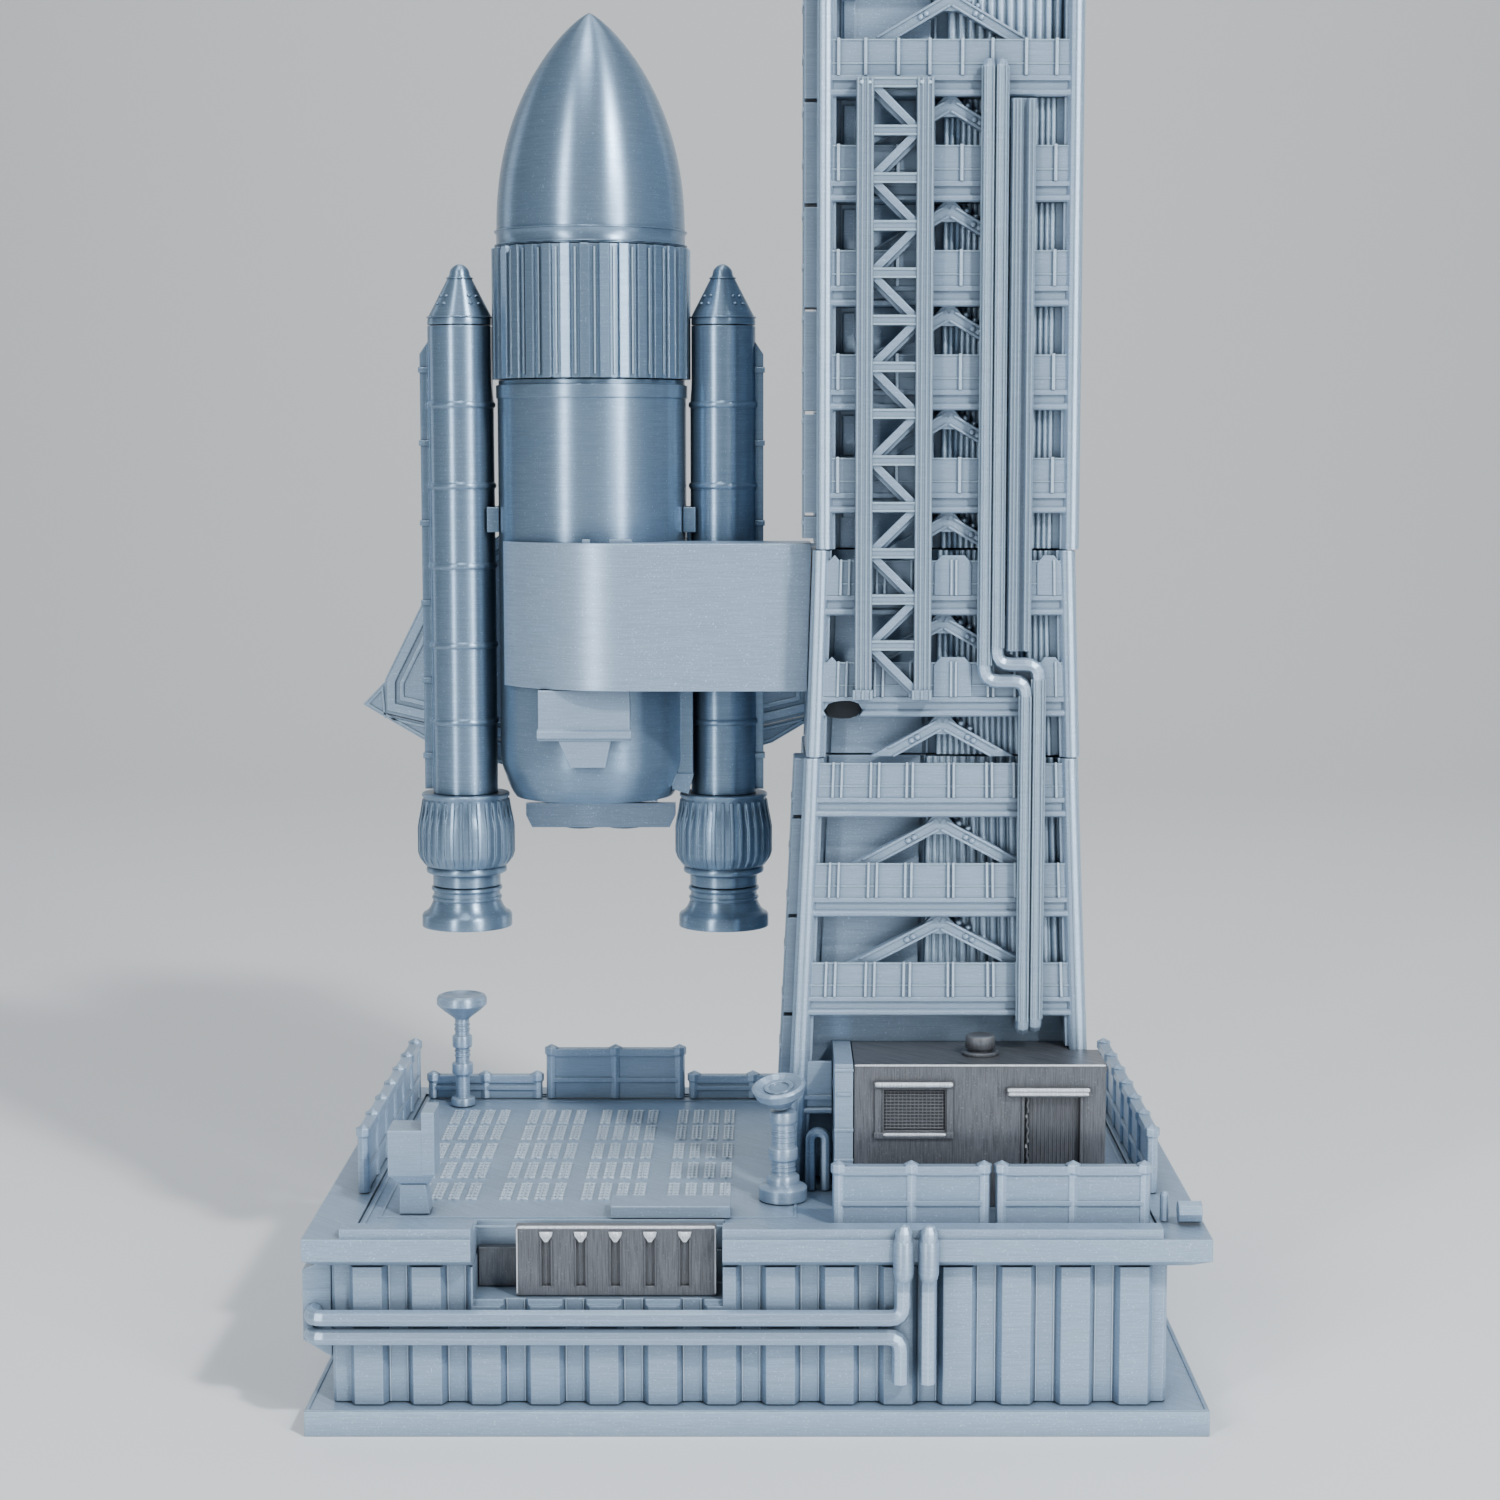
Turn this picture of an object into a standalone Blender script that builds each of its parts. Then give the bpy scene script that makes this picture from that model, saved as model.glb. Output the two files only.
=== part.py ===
"""Display model of a space rocket held by the arm of its service tower, on a launch pad.

The pieces are printed shells and blocks, glued into one rigid model.
Lengths below are in millimetres and are turned into metres where a mesh is made.
The origin is the middle of the pad's underside, +Z is up and -Y is the front.
"""

import math

import bmesh
import bpy
from mathutils import Matrix, Vector

MM = 0.001
GAP = 0.3

# Pad
PAD_WIDTH = 200.8
PAD_DEPTH = 145.0
FOOT_HEIGHT = 5.6
WALL_LEFT = -92.6
WALL_RIGHT = 89.2
WALL_HALF_Y = 66.4
WALL_RIB_PITCH = 13.1
WALL_RIB_FIRST = -86.5
WALL_RIB_COUNT = 14
WALL_RIB_WIDTH = 6.3
WALL_RIB_DEPTH = 2.2
WALL_RIB_SLANT = 1.1
RIM_UNDER = 37.6
RIM_EDGE = 39.7
RIM_TOP = 44.7
DECK_TOP = 44.2
DECK_HALF_X = 89.6
DECK_FRONT = -61.5
DECK_BACK = 64.5

# Slot in the front of the pad and the dark blocks in it
SLOT_LEFT = -63.1
SLOT_RIGHT = -7.6
SLOT_SILL = 29.6
SLOT_BACK = -55.0
SLOT_RIB_TOP = 28.4
INSERT_FRONT = -65.4
INSERT_TOP = 45.7
INSERT_LEDGE = 38.8
GROOVE_PITCH = 7.72

# Pipes on the front of the pad
PIPE_RADIUS = 1.9
RISER_LEFT = 32.3
RISER_RIGHT = 37.8
RISER_Y = -73.4

# Service tower, printed in three lengths that stand slightly off each other
LOWER_X = 42.6
MIDDLE_X = 43.0
UPPER_X = 43.8
TOWER_HALF = 30.2
TOWER_FLARE = 6.1
FLARE_POWER = 1.2
TOWER_FRONT = -28.0
TOWER_BACK = 24.0
LEVEL_BASE = 42.9
LEVEL_PITCH = 23.52
TOP_LEVEL = 12
SEAM_LOW = 146.3
SEAM_HIGH = 194.5
CORNER_RADIUS = 1.9
CORE_FRONT = -18.5
BAND_HEIGHT = 8.0
BEAM_HEIGHT = 4.6
FLANGE = 1.3
BRACE_SPREAD = 26.5
BRACE_FOOT = 1.6
BRACE_TIP = 17.2
BRACE_WIDTH = 2.8

# Lift truss and pipes on the tower's front
TRUSS_LEFT = 22.4
TRUSS_RIGHT = 39.9
TRUSS_RAIL = 3.9
TRUSS_FRONT = -31.0
TRUSS_BACK = -27.7
TRUSS_BOTTOM = 160.2
TRUSS_TOP = 300.8
RUNG_PITCH = 10.58
RUNG_HEIGHT = 2.3
DUCT_Y = -29.3
DUCT_RADIUS = 1.6

# Rocket
ROCKET_X = -40.4
ROCKET_Y = 11.5
TANK_RADIUS = 22.9
NOSE_BASE = 269.6
NOSE_TIP = 321.3
NOSE_RADIUS = 22.7
FLUTE_COUNT = 32
FLUTE_RADIUS = 24.0
FLUTE_ROOT = 23.1
FLUTE_BOTTOM = 234.3
BOOSTER_OFFSET = 31.8
BOOSTER_RADIUS = 7.95
BOOSTER_TIP = 262.0
BOOSTER_RINGS = (228.2, 208.7, 189.3, 170.0, 151.3)
SKIRT_RADIUS = 11.5
SKIRT_RIBS = 32

# Arm that holds the rocket
ARM_FRONT = -18.5
ARM_BACK = 2.0
ARM_BOTTOM = 161.0
ARM_TOP = 195.6
ARM_CURVE = 36.0
ARM_CURVE_X = -30.1
ARM_TIP_Y = -0.6

# Winged orbiter on the far side of the tank
ORBITER_Y = 34.8
FUSELAGE_HALF = 14.5
WING_HALF = 60.3

PRINT_GREY = (0.52, 0.57, 0.63)
DARK_BRONZE = (0.26, 0.28, 0.30)


def clear_scene():
    for obj in list(bpy.data.objects):
        bpy.data.objects.remove(obj, do_unlink=True)


def material(name, colour, roughness, metallic):
    mat = bpy.data.materials.new(name)
    mat.use_nodes = True
    shader = mat.node_tree.nodes["Principled BSDF"]
    shader.inputs["Base Color"].default_value = (*colour, 1.0)
    shader.inputs["Roughness"].default_value = roughness
    shader.inputs["Metallic"].default_value = metallic
    return mat


def from_bmesh(bm, name="shape"):
    bmesh.ops.recalc_face_normals(bm, faces=bm.faces)
    mesh = bpy.data.meshes.new(name)
    bm.to_mesh(mesh)
    bm.free()
    obj = bpy.data.objects.new(name, mesh)
    bpy.context.collection.objects.link(obj)
    return obj


def prism(outline, low, high, axis="Z"):
    """Extrude a closed outline of (u, v) points from low to high along an axis."""
    place = {
        "Z": lambda u, v, w: (u, v, w),
        "Y": lambda u, v, w: (u, w, v),
        "X": lambda u, v, w: (w, u, v),
    }[axis]
    bm = bmesh.new()
    rings = []
    for level in (low, high):
        rings.append([bm.verts.new(Vector(place(u, v, level)) * MM) for u, v in outline])
    count = len(outline)
    bm.faces.new(rings[0][::-1])
    bm.faces.new(rings[1])
    for i in range(count):
        j = (i + 1) % count
        bm.faces.new((rings[0][i], rings[0][j], rings[1][j], rings[1][i]))
    return from_bmesh(bm)


def block(x0, x1, y0, y1, z0, z1):
    return prism([(x0, y0), (x1, y0), (x1, y1), (x0, y1)], z0, z1)


def loft(lower, z0, upper, z1):
    """Join two outlines with the same number of points at two heights."""
    bm = bmesh.new()
    rings = []
    for outline, level in ((lower, z0), (upper, z1)):
        rings.append([bm.verts.new(Vector((u, v, level)) * MM) for u, v in outline])
    count = len(lower)
    bm.faces.new(rings[0][::-1])
    bm.faces.new(rings[1])
    for i in range(count):
        j = (i + 1) % count
        bm.faces.new((rings[0][i], rings[0][j], rings[1][j], rings[1][i]))
    return from_bmesh(bm)


def rectangle(x0, x1, y0, y1):
    return [(x0, y0), (x1, y0), (x1, y1), (x0, y1)]


def circle(x, y, radius, sides, turn=0.0):
    step = 2 * math.pi / sides
    return [(x + radius * math.cos(turn + i * step), y + radius * math.sin(turn + i * step))
            for i in range(sides)]


def turned(profile, x, y, sides):
    """Turn a profile of (radius, z) points about the vertical axis through (x, y)."""
    bm = bmesh.new()
    rings = []
    for radius, z in profile:
        if radius == 0:
            rings.append([bm.verts.new(Vector((x, y, z)) * MM)])
        else:
            rings.append([bm.verts.new(Vector((u, v, z)) * MM)
                          for u, v in circle(x, y, radius, sides)])
    if len(rings[0]) > 1:
        bm.faces.new(rings[0])
    if len(rings[-1]) > 1:
        bm.faces.new(rings[-1][::-1])
    for upper, lower in zip(rings, rings[1:]):
        for i in range(sides):
            j = (i + 1) % sides
            corners = [upper[i % len(upper)], lower[i % len(lower)],
                       lower[j % len(lower)], upper[j % len(upper)]]
            unique = list(dict.fromkeys(corners))
            bm.faces.new(unique)
    return from_bmesh(bm)


def bar_outline(start, end, width):
    """Outline of a straight bar between two (x, z) points."""
    x0, z0 = start
    x1, z1 = end
    length = math.hypot(x1 - x0, z1 - z0)
    side_x = (z1 - z0) / length * width / 2
    side_z = -(x1 - x0) / length * width / 2
    return [(x0 + side_x, z0 + side_z), (x1 + side_x, z1 + side_z),
            (x1 - side_x, z1 - side_z), (x0 - side_x, z0 - side_z)]


def bar(start, end, width, depth):
    """Flat bar in the X-Z plane between two (x, z) points at a given (y0, y1) depth."""
    return prism(bar_outline(start, end, width), depth[0], depth[1], "Y")


def above(outline, low):
    """The part of an outline of (u, v) points that lies above v = low."""
    points = []
    for i, (u1, v1) in enumerate(outline):
        u0, v0 = outline[i - 1]
        if (v0 < low) != (v1 < low):
            share = (low - v0) / (v1 - v0)
            points.append((u0 + (u1 - u0) * share, low))
        if v1 >= low:
            points.append((u1, v1))
    return points


def pipe(points, radius, resolution=2):
    """Round pipe with closed ends along a chain of points."""
    curve = bpy.data.curves.new("route", "CURVE")
    curve.dimensions = "3D"
    curve.bevel_depth = radius * MM
    curve.bevel_resolution = resolution
    curve.use_fill_caps = True
    spline = curve.splines.new("POLY")
    spline.points.add(len(points) - 1)
    for target, point in zip(spline.points, points):
        target.co = (*(Vector(point) * MM), 1.0)
    obj = bpy.data.objects.new("route", curve)
    bpy.context.collection.objects.link(obj)
    bpy.context.view_layer.update()
    mesh = bpy.data.meshes.new_from_object(obj.evaluated_get(bpy.context.evaluated_depsgraph_get()))
    bpy.data.objects.remove(obj, do_unlink=True)
    bm = bmesh.new()
    bm.from_mesh(mesh)
    bmesh.ops.remove_doubles(bm, verts=bm.verts, dist=0.00001)
    return from_bmesh(bm)


def bend(corner, before, after, radius, steps=4):
    """Points of a round bend at a corner between two neighbouring route points."""
    corner = Vector(corner)
    start = corner + (Vector(before) - corner).normalized() * radius
    end = corner + (Vector(after) - corner).normalized() * radius
    points = []
    for i in range(steps + 1):
        t = i / steps
        points.append(start.lerp(corner, t).lerp(corner.lerp(end, t), t))
    return points


def combine(base, tools, operation):
    """Apply an exact Boolean of all the tools to the base and remove the tools."""
    if not tools:
        return base
    group = bpy.data.collections.new("tools")
    for tool in tools:
        group.objects.link(tool)
    modifier = base.modifiers.new("combine", "BOOLEAN")
    modifier.operation = operation
    modifier.solver = "EXACT"
    modifier.operand_type = "COLLECTION"
    modifier.collection = group
    bpy.context.view_layer.update()
    result = base.evaluated_get(bpy.context.evaluated_depsgraph_get())
    mesh = bpy.data.meshes.new_from_object(result)
    base.modifiers.clear()
    base.data = mesh
    for tool in tools:
        bpy.data.objects.remove(tool, do_unlink=True)
    bpy.data.collections.remove(group)
    return base


def fuse(parts):
    return combine(parts[0], parts[1:], "UNION")


def cut(body, tools):
    return combine(body, tools, "DIFFERENCE")


def keep(obj, name, mat, round_piece=False):
    """Name a finished solid, give it its own material and its shading."""
    obj.name = name
    obj.data.name = name
    bm = bmesh.new()
    bm.from_mesh(obj.data)
    bmesh.ops.remove_doubles(bm, verts=bm.verts, dist=0.000002)
    bmesh.ops.dissolve_degenerate(bm, edges=bm.edges, dist=0.000002)
    bm.to_mesh(obj.data)
    bm.free()
    own = mat.copy()
    own.name = name + "_finish"
    obj.data.materials.clear()
    obj.data.materials.append(own)
    if round_piece:
        obj.data.shade_smooth()
        obj.data.set_sharp_from_angle(angle=math.radians(35))
    return obj


def pad_foot():
    half_x = PAD_WIDTH / 2
    half_y = PAD_DEPTH / 2
    plate = block(-half_x, half_x, -half_y, half_y, 0, FOOT_HEIGHT)
    return keep(plate, "pad_foot", GREY)


def ribbed_side(first, count, root_line, face_line):
    """Points along one corrugated side, from its first rib to its last one."""
    points = []
    for i in range(count):
        middle = first + i * WALL_RIB_PITCH
        face = WALL_RIB_WIDTH / 2
        root = face + WALL_RIB_SLANT
        points += [(middle - root, root_line), (middle - face, face_line),
                   (middle + face, face_line), (middle + root, root_line)]
    return points


def wall_corner(sx, sy):
    """Bare corner of the ribbed wall and the post beside it, from its long face round to its side."""
    root_x = WALL_RIGHT if sx > 0 else WALL_LEFT
    reach_x = root_x + sx * WALL_RIB_DEPTH
    post = 5.5
    knee = 0.8
    return [(reach_x - sx * knee, sy * WALL_HALF_Y),
            (reach_x, sy * (WALL_HALF_Y - knee)),
            (reach_x, sy * (WALL_HALF_Y - post)),
            (root_x, sy * (WALL_HALF_Y - post))]


def pad_wall():
    side_count = 9
    side_first = -(side_count - 1) / 2 * WALL_RIB_PITCH
    long_side = ribbed_side(WALL_RIB_FIRST, WALL_RIB_COUNT, WALL_HALF_Y, WALL_HALF_Y + WALL_RIB_DEPTH)
    right_side = ribbed_side(side_first, side_count, WALL_RIGHT, WALL_RIGHT + WALL_RIB_DEPTH)
    left_side = ribbed_side(side_first, side_count, WALL_LEFT, WALL_LEFT - WALL_RIB_DEPTH)
    outline = [(u, -v) for u, v in long_side]
    outline += wall_corner(1, -1)
    outline += [(v, u) for u, v in right_side]
    outline += wall_corner(1, 1)[::-1]
    outline += long_side[::-1]
    outline += wall_corner(-1, 1)
    outline += [(v, u) for u, v in left_side[::-1]]
    outline += wall_corner(-1, -1)[::-1]
    wall = prism(outline, FOOT_HEIGHT + GAP, RIM_UNDER - GAP)
    pocket = block(SLOT_LEFT, SLOT_RIGHT, -PAD_DEPTH, SLOT_BACK, SLOT_SILL, 60)
    ledge = block(SLOT_LEFT, SLOT_RIGHT, -PAD_DEPTH, -WALL_HALF_Y - 0.9, SLOT_RIB_TOP, 60)
    return keep(cut(wall, [pocket, ledge]), "pad_wall", GREY)


def pad_rim():
    half_x = PAD_WIDTH / 2
    half_y = PAD_DEPTH / 2
    inset = 4.4
    under = rectangle(-half_x + inset, half_x - inset, -half_y + inset, half_y - inset)
    edge = rectangle(-half_x, half_x, -half_y, half_y)
    skirt = loft(under, RIM_UNDER, edge, RIM_EDGE)
    plate = block(-half_x, half_x, -half_y, half_y, RIM_EDGE - 0.01, RIM_TOP)
    lip = block(-92.1, 89.6, -half_y + 0.7, -half_y + 5.9, RIM_TOP - 1, RIM_TOP + 2.1)
    rim = fuse([skirt, plate, lip])
    opening = block(-DECK_HALF_X - GAP, DECK_HALF_X + GAP, DECK_FRONT - GAP, DECK_BACK + GAP, 30, 60)
    slot = block(SLOT_LEFT, SLOT_RIGHT, -PAD_DEPTH, SLOT_BACK, 30, 60)
    notches = [prism(circle(x, RISER_Y, PIPE_RADIUS + GAP, 16), 30, 60) for x in (RISER_LEFT, RISER_RIGHT)]
    return keep(cut(rim, [opening, slot] + notches), "pad_rim", GREY)



def deck():
    plate = block(-DECK_HALF_X, DECK_HALF_X, DECK_FRONT, DECK_BACK, RIM_UNDER, DECK_TOP)
    slot = block(SLOT_LEFT - GAP, SLOT_RIGHT + GAP, -PAD_DEPTH, SLOT_BACK + GAP, 30, 60)
    return keep(cut(plate, [slot]), "deck", GREY)


def railing(name, start, end, height, posts, thickness=1.6, foot=DECK_TOP + GAP):
    """Panel with round posts between two (x, y) points."""
    start = Vector((*start, 0))
    end = Vector((*end, 0))
    along = (end - start).normalized()
    side = Vector((-along.y, along.x, 0)) * thickness / 2
    outline = [start - side, end - side, end + side, start + side]
    panel = prism([(p.x, p.y) for p in outline], foot, foot + height - 1.4)
    cap_outline = [start - side * 1.6, end - side * 1.6, end + side * 1.6, start + side * 1.6]
    cap = prism([(p.x, p.y) for p in cap_outline], foot + height - 3.2, foot + height - 1.2)
    middle = prism([(p.x, p.y) for p in cap_outline], foot + height * 0.3, foot + height * 0.3 + 1.2)
    shapes = [panel, cap, middle]
    for i in range(posts):
        spot = start.lerp(end, i / (posts - 1))
        top = foot + height
        profile = [(0, top), (1.8, top - 0.9), (1.8, top - 2.6), (1.4, top - 3.2), (1.4, foot)]
        shapes.append(turned(profile, spot.x, spot.y, 8))
    return keep(fuse(shapes), name, GREY)


def railings():
    side_x = 92.0
    tall = 16.1
    low = 7.4
    screen = 14.6
    rim_foot = RIM_TOP + GAP
    railing("railing_left", (-side_x, -34), (-side_x, 60), tall, 7, foot=rim_foot)
    railing("railing_right", (side_x, -34), (side_x, 60), tall, 7, foot=rim_foot)
    railing("railing_back_left", (-87.4, 61.8), (-59.6, 61.8), low, 3)
    railing("railing_back_middle", (-55.7, 61.8), (-21.4, 61.8), screen, 3)
    railing("railing_back_right", (-17.5, 61.8), (14, 61.8), low, 3)
    railing("railing_front_middle", (18.3, -59), (50.9, -59), screen, 3)
    railing("railing_front_right", (54.9, -59), (86.9, -59), screen, 3)


def rim_fittings():
    """Short post and lying bollard on the rim's front right corner."""
    foot = RIM_TOP + GAP
    post = turned([(0, 51.8), (0.7, 51.6), (1.0, 51.0), (1.0, foot)], 91.6, -58.0, 10)
    keep(post, "rim_post", GREY, True)
    radius = 2.5
    bollard = pipe([(94.4, -60, foot + radius), (99.6, -60, foot + radius)], radius)
    keep(bollard, "rim_bollard", GREY, True)


def front_pipes():
    """Two long pipes along the front wall and a pair of risers that pass over the rim."""
    wall_y = -WALL_HALF_Y - WALL_RIB_DEPTH - GAP - PIPE_RADIUS
    left = -98.9
    box_y = -65.0 - GAP
    upper_z = 26.4
    lower_z = 22.1
    lower_end = 11.6
    rise = [(wall_y, 33.0), (wall_y - 0.6, 34.6), (RISER_Y + 0.5, 37.2), (RISER_Y, 38.6), (RISER_Y, 46.4)]
    cap = [(0, 48.5), (1.3, 48.0), (PIPE_RADIUS, 46.6), (PIPE_RADIUS, 45.0)]

    corner = (RISER_LEFT, wall_y, upper_z)
    route = [(left, box_y, upper_z)]
    route += bend((left, wall_y, upper_z), (left, box_y, upper_z), corner, 3.0)
    route += bend(corner, (left, wall_y, upper_z), (RISER_LEFT, wall_y, 40), 3.0)
    route += [(RISER_LEFT, y, z) for y, z in rise]
    top = turned(cap, RISER_LEFT, RISER_Y, 12)
    keep(fuse([pipe(route, PIPE_RADIUS), top]), "pipe_long_upper", GREY, True)

    corner = (RISER_LEFT - 0.5, wall_y, lower_z)
    route = [(left, box_y, lower_z)]
    route += bend((left, wall_y, lower_z), (left, box_y, lower_z), corner, 3.0)
    route += bend(corner, (left, wall_y, lower_z), (RISER_LEFT - 0.5, wall_y, 0), 3.0)
    route += [(RISER_LEFT - 0.5, wall_y, lower_end)]
    keep(pipe(route, PIPE_RADIUS), "pipe_long_lower", GREY, True)

    route = [(RISER_RIGHT, wall_y, lower_end)] + [(RISER_RIGHT, y, z) for y, z in rise]
    top = turned(cap, RISER_RIGHT, RISER_Y, 12)
    keep(fuse([pipe(route, PIPE_RADIUS), top]), "pipe_riser", GREY, True)


def side_box():
    outline = [(-6.4, 19.6), (0, 15.6), (0, 37.2), (-3.0, 37.2), (-6.4, 35.6)]
    x = WALL_LEFT - WALL_RIB_DEPTH - GAP
    shape = prism([(x + u, v) for u, v in outline], -65, -50, "Y")
    return keep(shape, "pad_side_box", GREY)


def slot_blocks():
    """Dark insert in the slot, with its grooved front panel, and the lintel behind it."""
    foot = SLOT_SILL + GAP
    back = SLOT_BACK - 0.6
    panel = block(-53.7, -9.1, INSERT_FRONT, INSERT_FRONT + 2.8, foot, INSERT_TOP)
    grooves = []
    for i in range(5):
        x = -47.0 + i * GROOVE_PITCH
        outline = [(x - 1.0, 32.1), (x + 1.0, 32.1), (x + 1.0, 42.4), (x, 43.9), (x - 1.0, 42.4)]
        grooves.append(prism(outline, INSERT_FRONT - 1, INSERT_FRONT + 0.8, "Y"))
    body = block(-52.5, -9.6, INSERT_FRONT + 2.6, back, foot, INSERT_LEDGE)
    wing = block(-62.8, -52.0, -58.2, back, foot, INSERT_LEDGE - 0.05)
    keep(fuse([cut(panel, grooves), body, wing]), "slot_block", DARK)
    lintel = block(-33.2, -6.1, SLOT_BACK + 0.4, -45.2, DECK_TOP + GAP, 47.2)
    keep(lintel, "slot_lintel", GREY)


def cabin():
    front = -44.5
    roof = 77.5
    body = block(22.2, 79.8, front, TOWER_FRONT - GAP, DECK_TOP + GAP, roof)
    back = block(22.2, 72.9, TOWER_FRONT - 1, CORE_FRONT - GAP, DECK_TOP + GAP, roof)
    window = block(29.0, 43.0, front - 1, front + 0.9, 62.3, 71.7)
    door = block(60.6, 74.6, front - 1, front + 1.2, DECK_TOP - 1, 69.8)
    body = cut(fuse([body, back]), [window, door])
    hood = prism([(front - 1.4, 70.5), (front + 0.3, 70.5), (front + 0.3, 72.4), (front - 0.9, 72.4)],
                 57.0, 76.2, "X")
    sill = block(26.7, 44.9, front - 0.8, front + 0.3, 60.5, 61.9)
    head = block(26.7, 44.9, front - 1.0, front + 0.3, 72.3, 73.8)
    left = block(26.9, 28.3, front - 0.6, front + 0.3, 61.0, 73.0)
    right = block(43.4, 44.8, front - 0.6, front + 0.3, 61.0, 73.0)
    keep(fuse([body, hood, sill, head, left, right]), "cabin", DARK)
    vent = turned([(0, 82.2), (2.8, 82.2), (3.5, 81.6), (3.5, 79.4), (2.8, 78.8), (2.8, roof + GAP)],
                  51.8, -33.0, 16)
    keep(vent, "cabin_vent", DARK, True)
    column = block(17.7, 21.9, front - 0.2, CORE_FRONT - GAP, DECK_TOP + GAP, roof + 0.2)
    keep(column, "cabin_column", GREY)


def lamp():
    pedestal = loft(rectangle(-81.6, -74.7, -51, -44), DECK_TOP + GAP,
                    rectangle(-81.3, -75.6, -50.6, -44.4), 51.2)
    keep(pedestal, "lamp_pedestal", GREY)
    neck = loft(rectangle(-81.6, -74.5, -51, -43), 51.2 + GAP, rectangle(-83.9, -73.3, -52, -42), 53.6)
    box = block(-83.9, -73.3, -52, -42, 53.5, 64.0)
    plate = block(-76.2, -73.25, -52.05, -42.05, 53.7, 68.2)
    keep(fuse([neck, box, plate]), "lamp_box", GREY)


def masts():
    foot = DECK_TOP + GAP
    funnel = turned([(0, 74.2), (5.4, 74.2), (6.6, 73.2), (6.6, 71.6), (3.6, 69.0), (1.9, 67.6),
                     (1.9, 63.4), (2.6, 62.8), (2.6, 60.4), (1.9, 59.8), (1.9, 56.0), (2.8, 55.4),
                     (2.8, 53.2), (1.8, 52.4), (1.8, 46.6), (3.2, 46.2), (3.2, foot)], -78.7, 54.0, 16)
    keep(funnel, "mast_left", GREY, True)
    post = turned([(0, 65.4), (2.7, 65.4), (3.2, 64.6), (3.2, 63.0), (2.7, 62.2), (2.7, 57.0),
                   (3.4, 56.2), (3.4, 54.4), (2.7, 53.6), (2.7, 50.6), (3.8, 49.8), (3.8, 48.2),
                   (5.6, 47.4), (5.6, foot)], 5.9, -38.0, 16)
    keep(post, "dish_mast", GREY, True)
    dish = turned([(0, 4.5), (2.4, 4.6), (2.4, 5.0), (3.4, 5.1), (3.4, 4.7), (5.6, 5.7), (6.3, 5.2),
                   (5.6, 3.2), (2.2, 0.4), (2.2, 0.0), (0, 0.0)], 0, 0, 20)
    lean = Matrix.Rotation(math.radians(14), 4, "X") @ Matrix.Rotation(math.radians(-8), 4, "Y")
    dish.data.transform(lean)
    dish.data.transform(Matrix.Translation(Vector((5.6, -38.0, 66.4)) * MM))
    keep(dish, "dish", GREY, True)


def hose_arch():
    """Bent hose that stands on the deck beside the cabin."""
    y = -30.3
    low = DECK_TOP + GAP
    middle = 14.15
    half = 1.75
    top = low + 12.0
    points = [(middle - half, y, low), (middle - half, y, top)]
    for i in range(1, 8):
        angle = math.pi * i / 8
        points.append((middle - half * math.cos(angle), y, top + half * math.sin(angle)))
    points += [(middle + half, y, top), (middle + half, y, low)]
    keep(pipe(points, 1.2), "hose_arch", GREY, True)


def level_height(level):
    return LEVEL_BASE + LEVEL_PITCH * level


def half_width(z):
    """Half the tower's width at a height: straight above, flared towards the deck."""
    below = max(0.0, SEAM_HIGH - z) / (SEAM_HIGH - DECK_TOP)
    return TOWER_HALF + TOWER_FLARE * below ** FLARE_POWER


def flare(obj, middle):
    """Widen a straight tower piece towards the deck."""
    for vert in obj.data.vertices:
        scale = half_width(vert.co.z / MM) / TOWER_HALF
        vert.co.x = (middle + (vert.co.x / MM - middle) * scale) * MM
    obj.data.update()


def level_band(middle, z, top_end):
    """Floor, two-flange beam and railing band of one tower level, on all four sides."""
    left = middle - TOWER_HALF + 1.5
    right = middle + TOWER_HALF - 1.5
    face = TOWER_FRONT
    low = z - BEAM_HEIGHT
    top = min(z + BAND_HEIGHT, top_end)
    shapes = []
    shapes.append(block(left, right, face + 1.4, CORE_FRONT + 1.5, z - FLANGE, z))
    shapes.append(block(left, right, face + 0.6, face + 2.4, z - FLANGE + 0.2, z - 0.05))
    lip = [(face + 1.0, low), (face + 2.4, low), (face + 2.4, low + 1.6), (face + 1.0, low + 1.6),
           (face + 0.5, low + 1.2), (face + 0.5, low + 0.4)]
    shapes.append(prism(lip, left, right, "X"))
    shapes.append(block(left, right, face + 1.3, CORE_FRONT + 0.6, low + 0.1, z - 0.1))
    shapes.append(block(left, right, face + 1.0, face + 2.1, z - 0.2, top))
    for side in (-1, 1):
        x0, x1 = sorted((middle + side * (TOWER_HALF - 2.8), middle + side * (TOWER_HALF - 0.3)))
        shapes.append(block(x0, x1, face + 3.2, TOWER_BACK - 3.2, low, top))
    shapes.append(block(left, right, TOWER_BACK - 2.6, TOWER_BACK - 0.6, low, top))
    return shapes


def band_peaks(middle, z, top_end):
    """Raised blocks with sloped shoulders on the railing band of the middle length."""
    shapes = []
    for x0, x1, slope in ((-27.0, -23.4, 1.7), (-2.2, 6.3, 1.5), (21.4, 26.8, 1.5)):
        top = min(z + BAND_HEIGHT + 1.2, top_end)
        outline = [(middle + x0, z + 0.1), (middle + x1, z + 0.1), (middle + x1, top - 1.9),
                   (middle + x1 - slope, top), (middle + x0 + slope, top), (middle + x0, top - 1.9)]
        shapes.append(prism(outline, TOWER_FRONT + 0.7, TOWER_FRONT + 2.2, "Y"))
    return shapes


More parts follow.
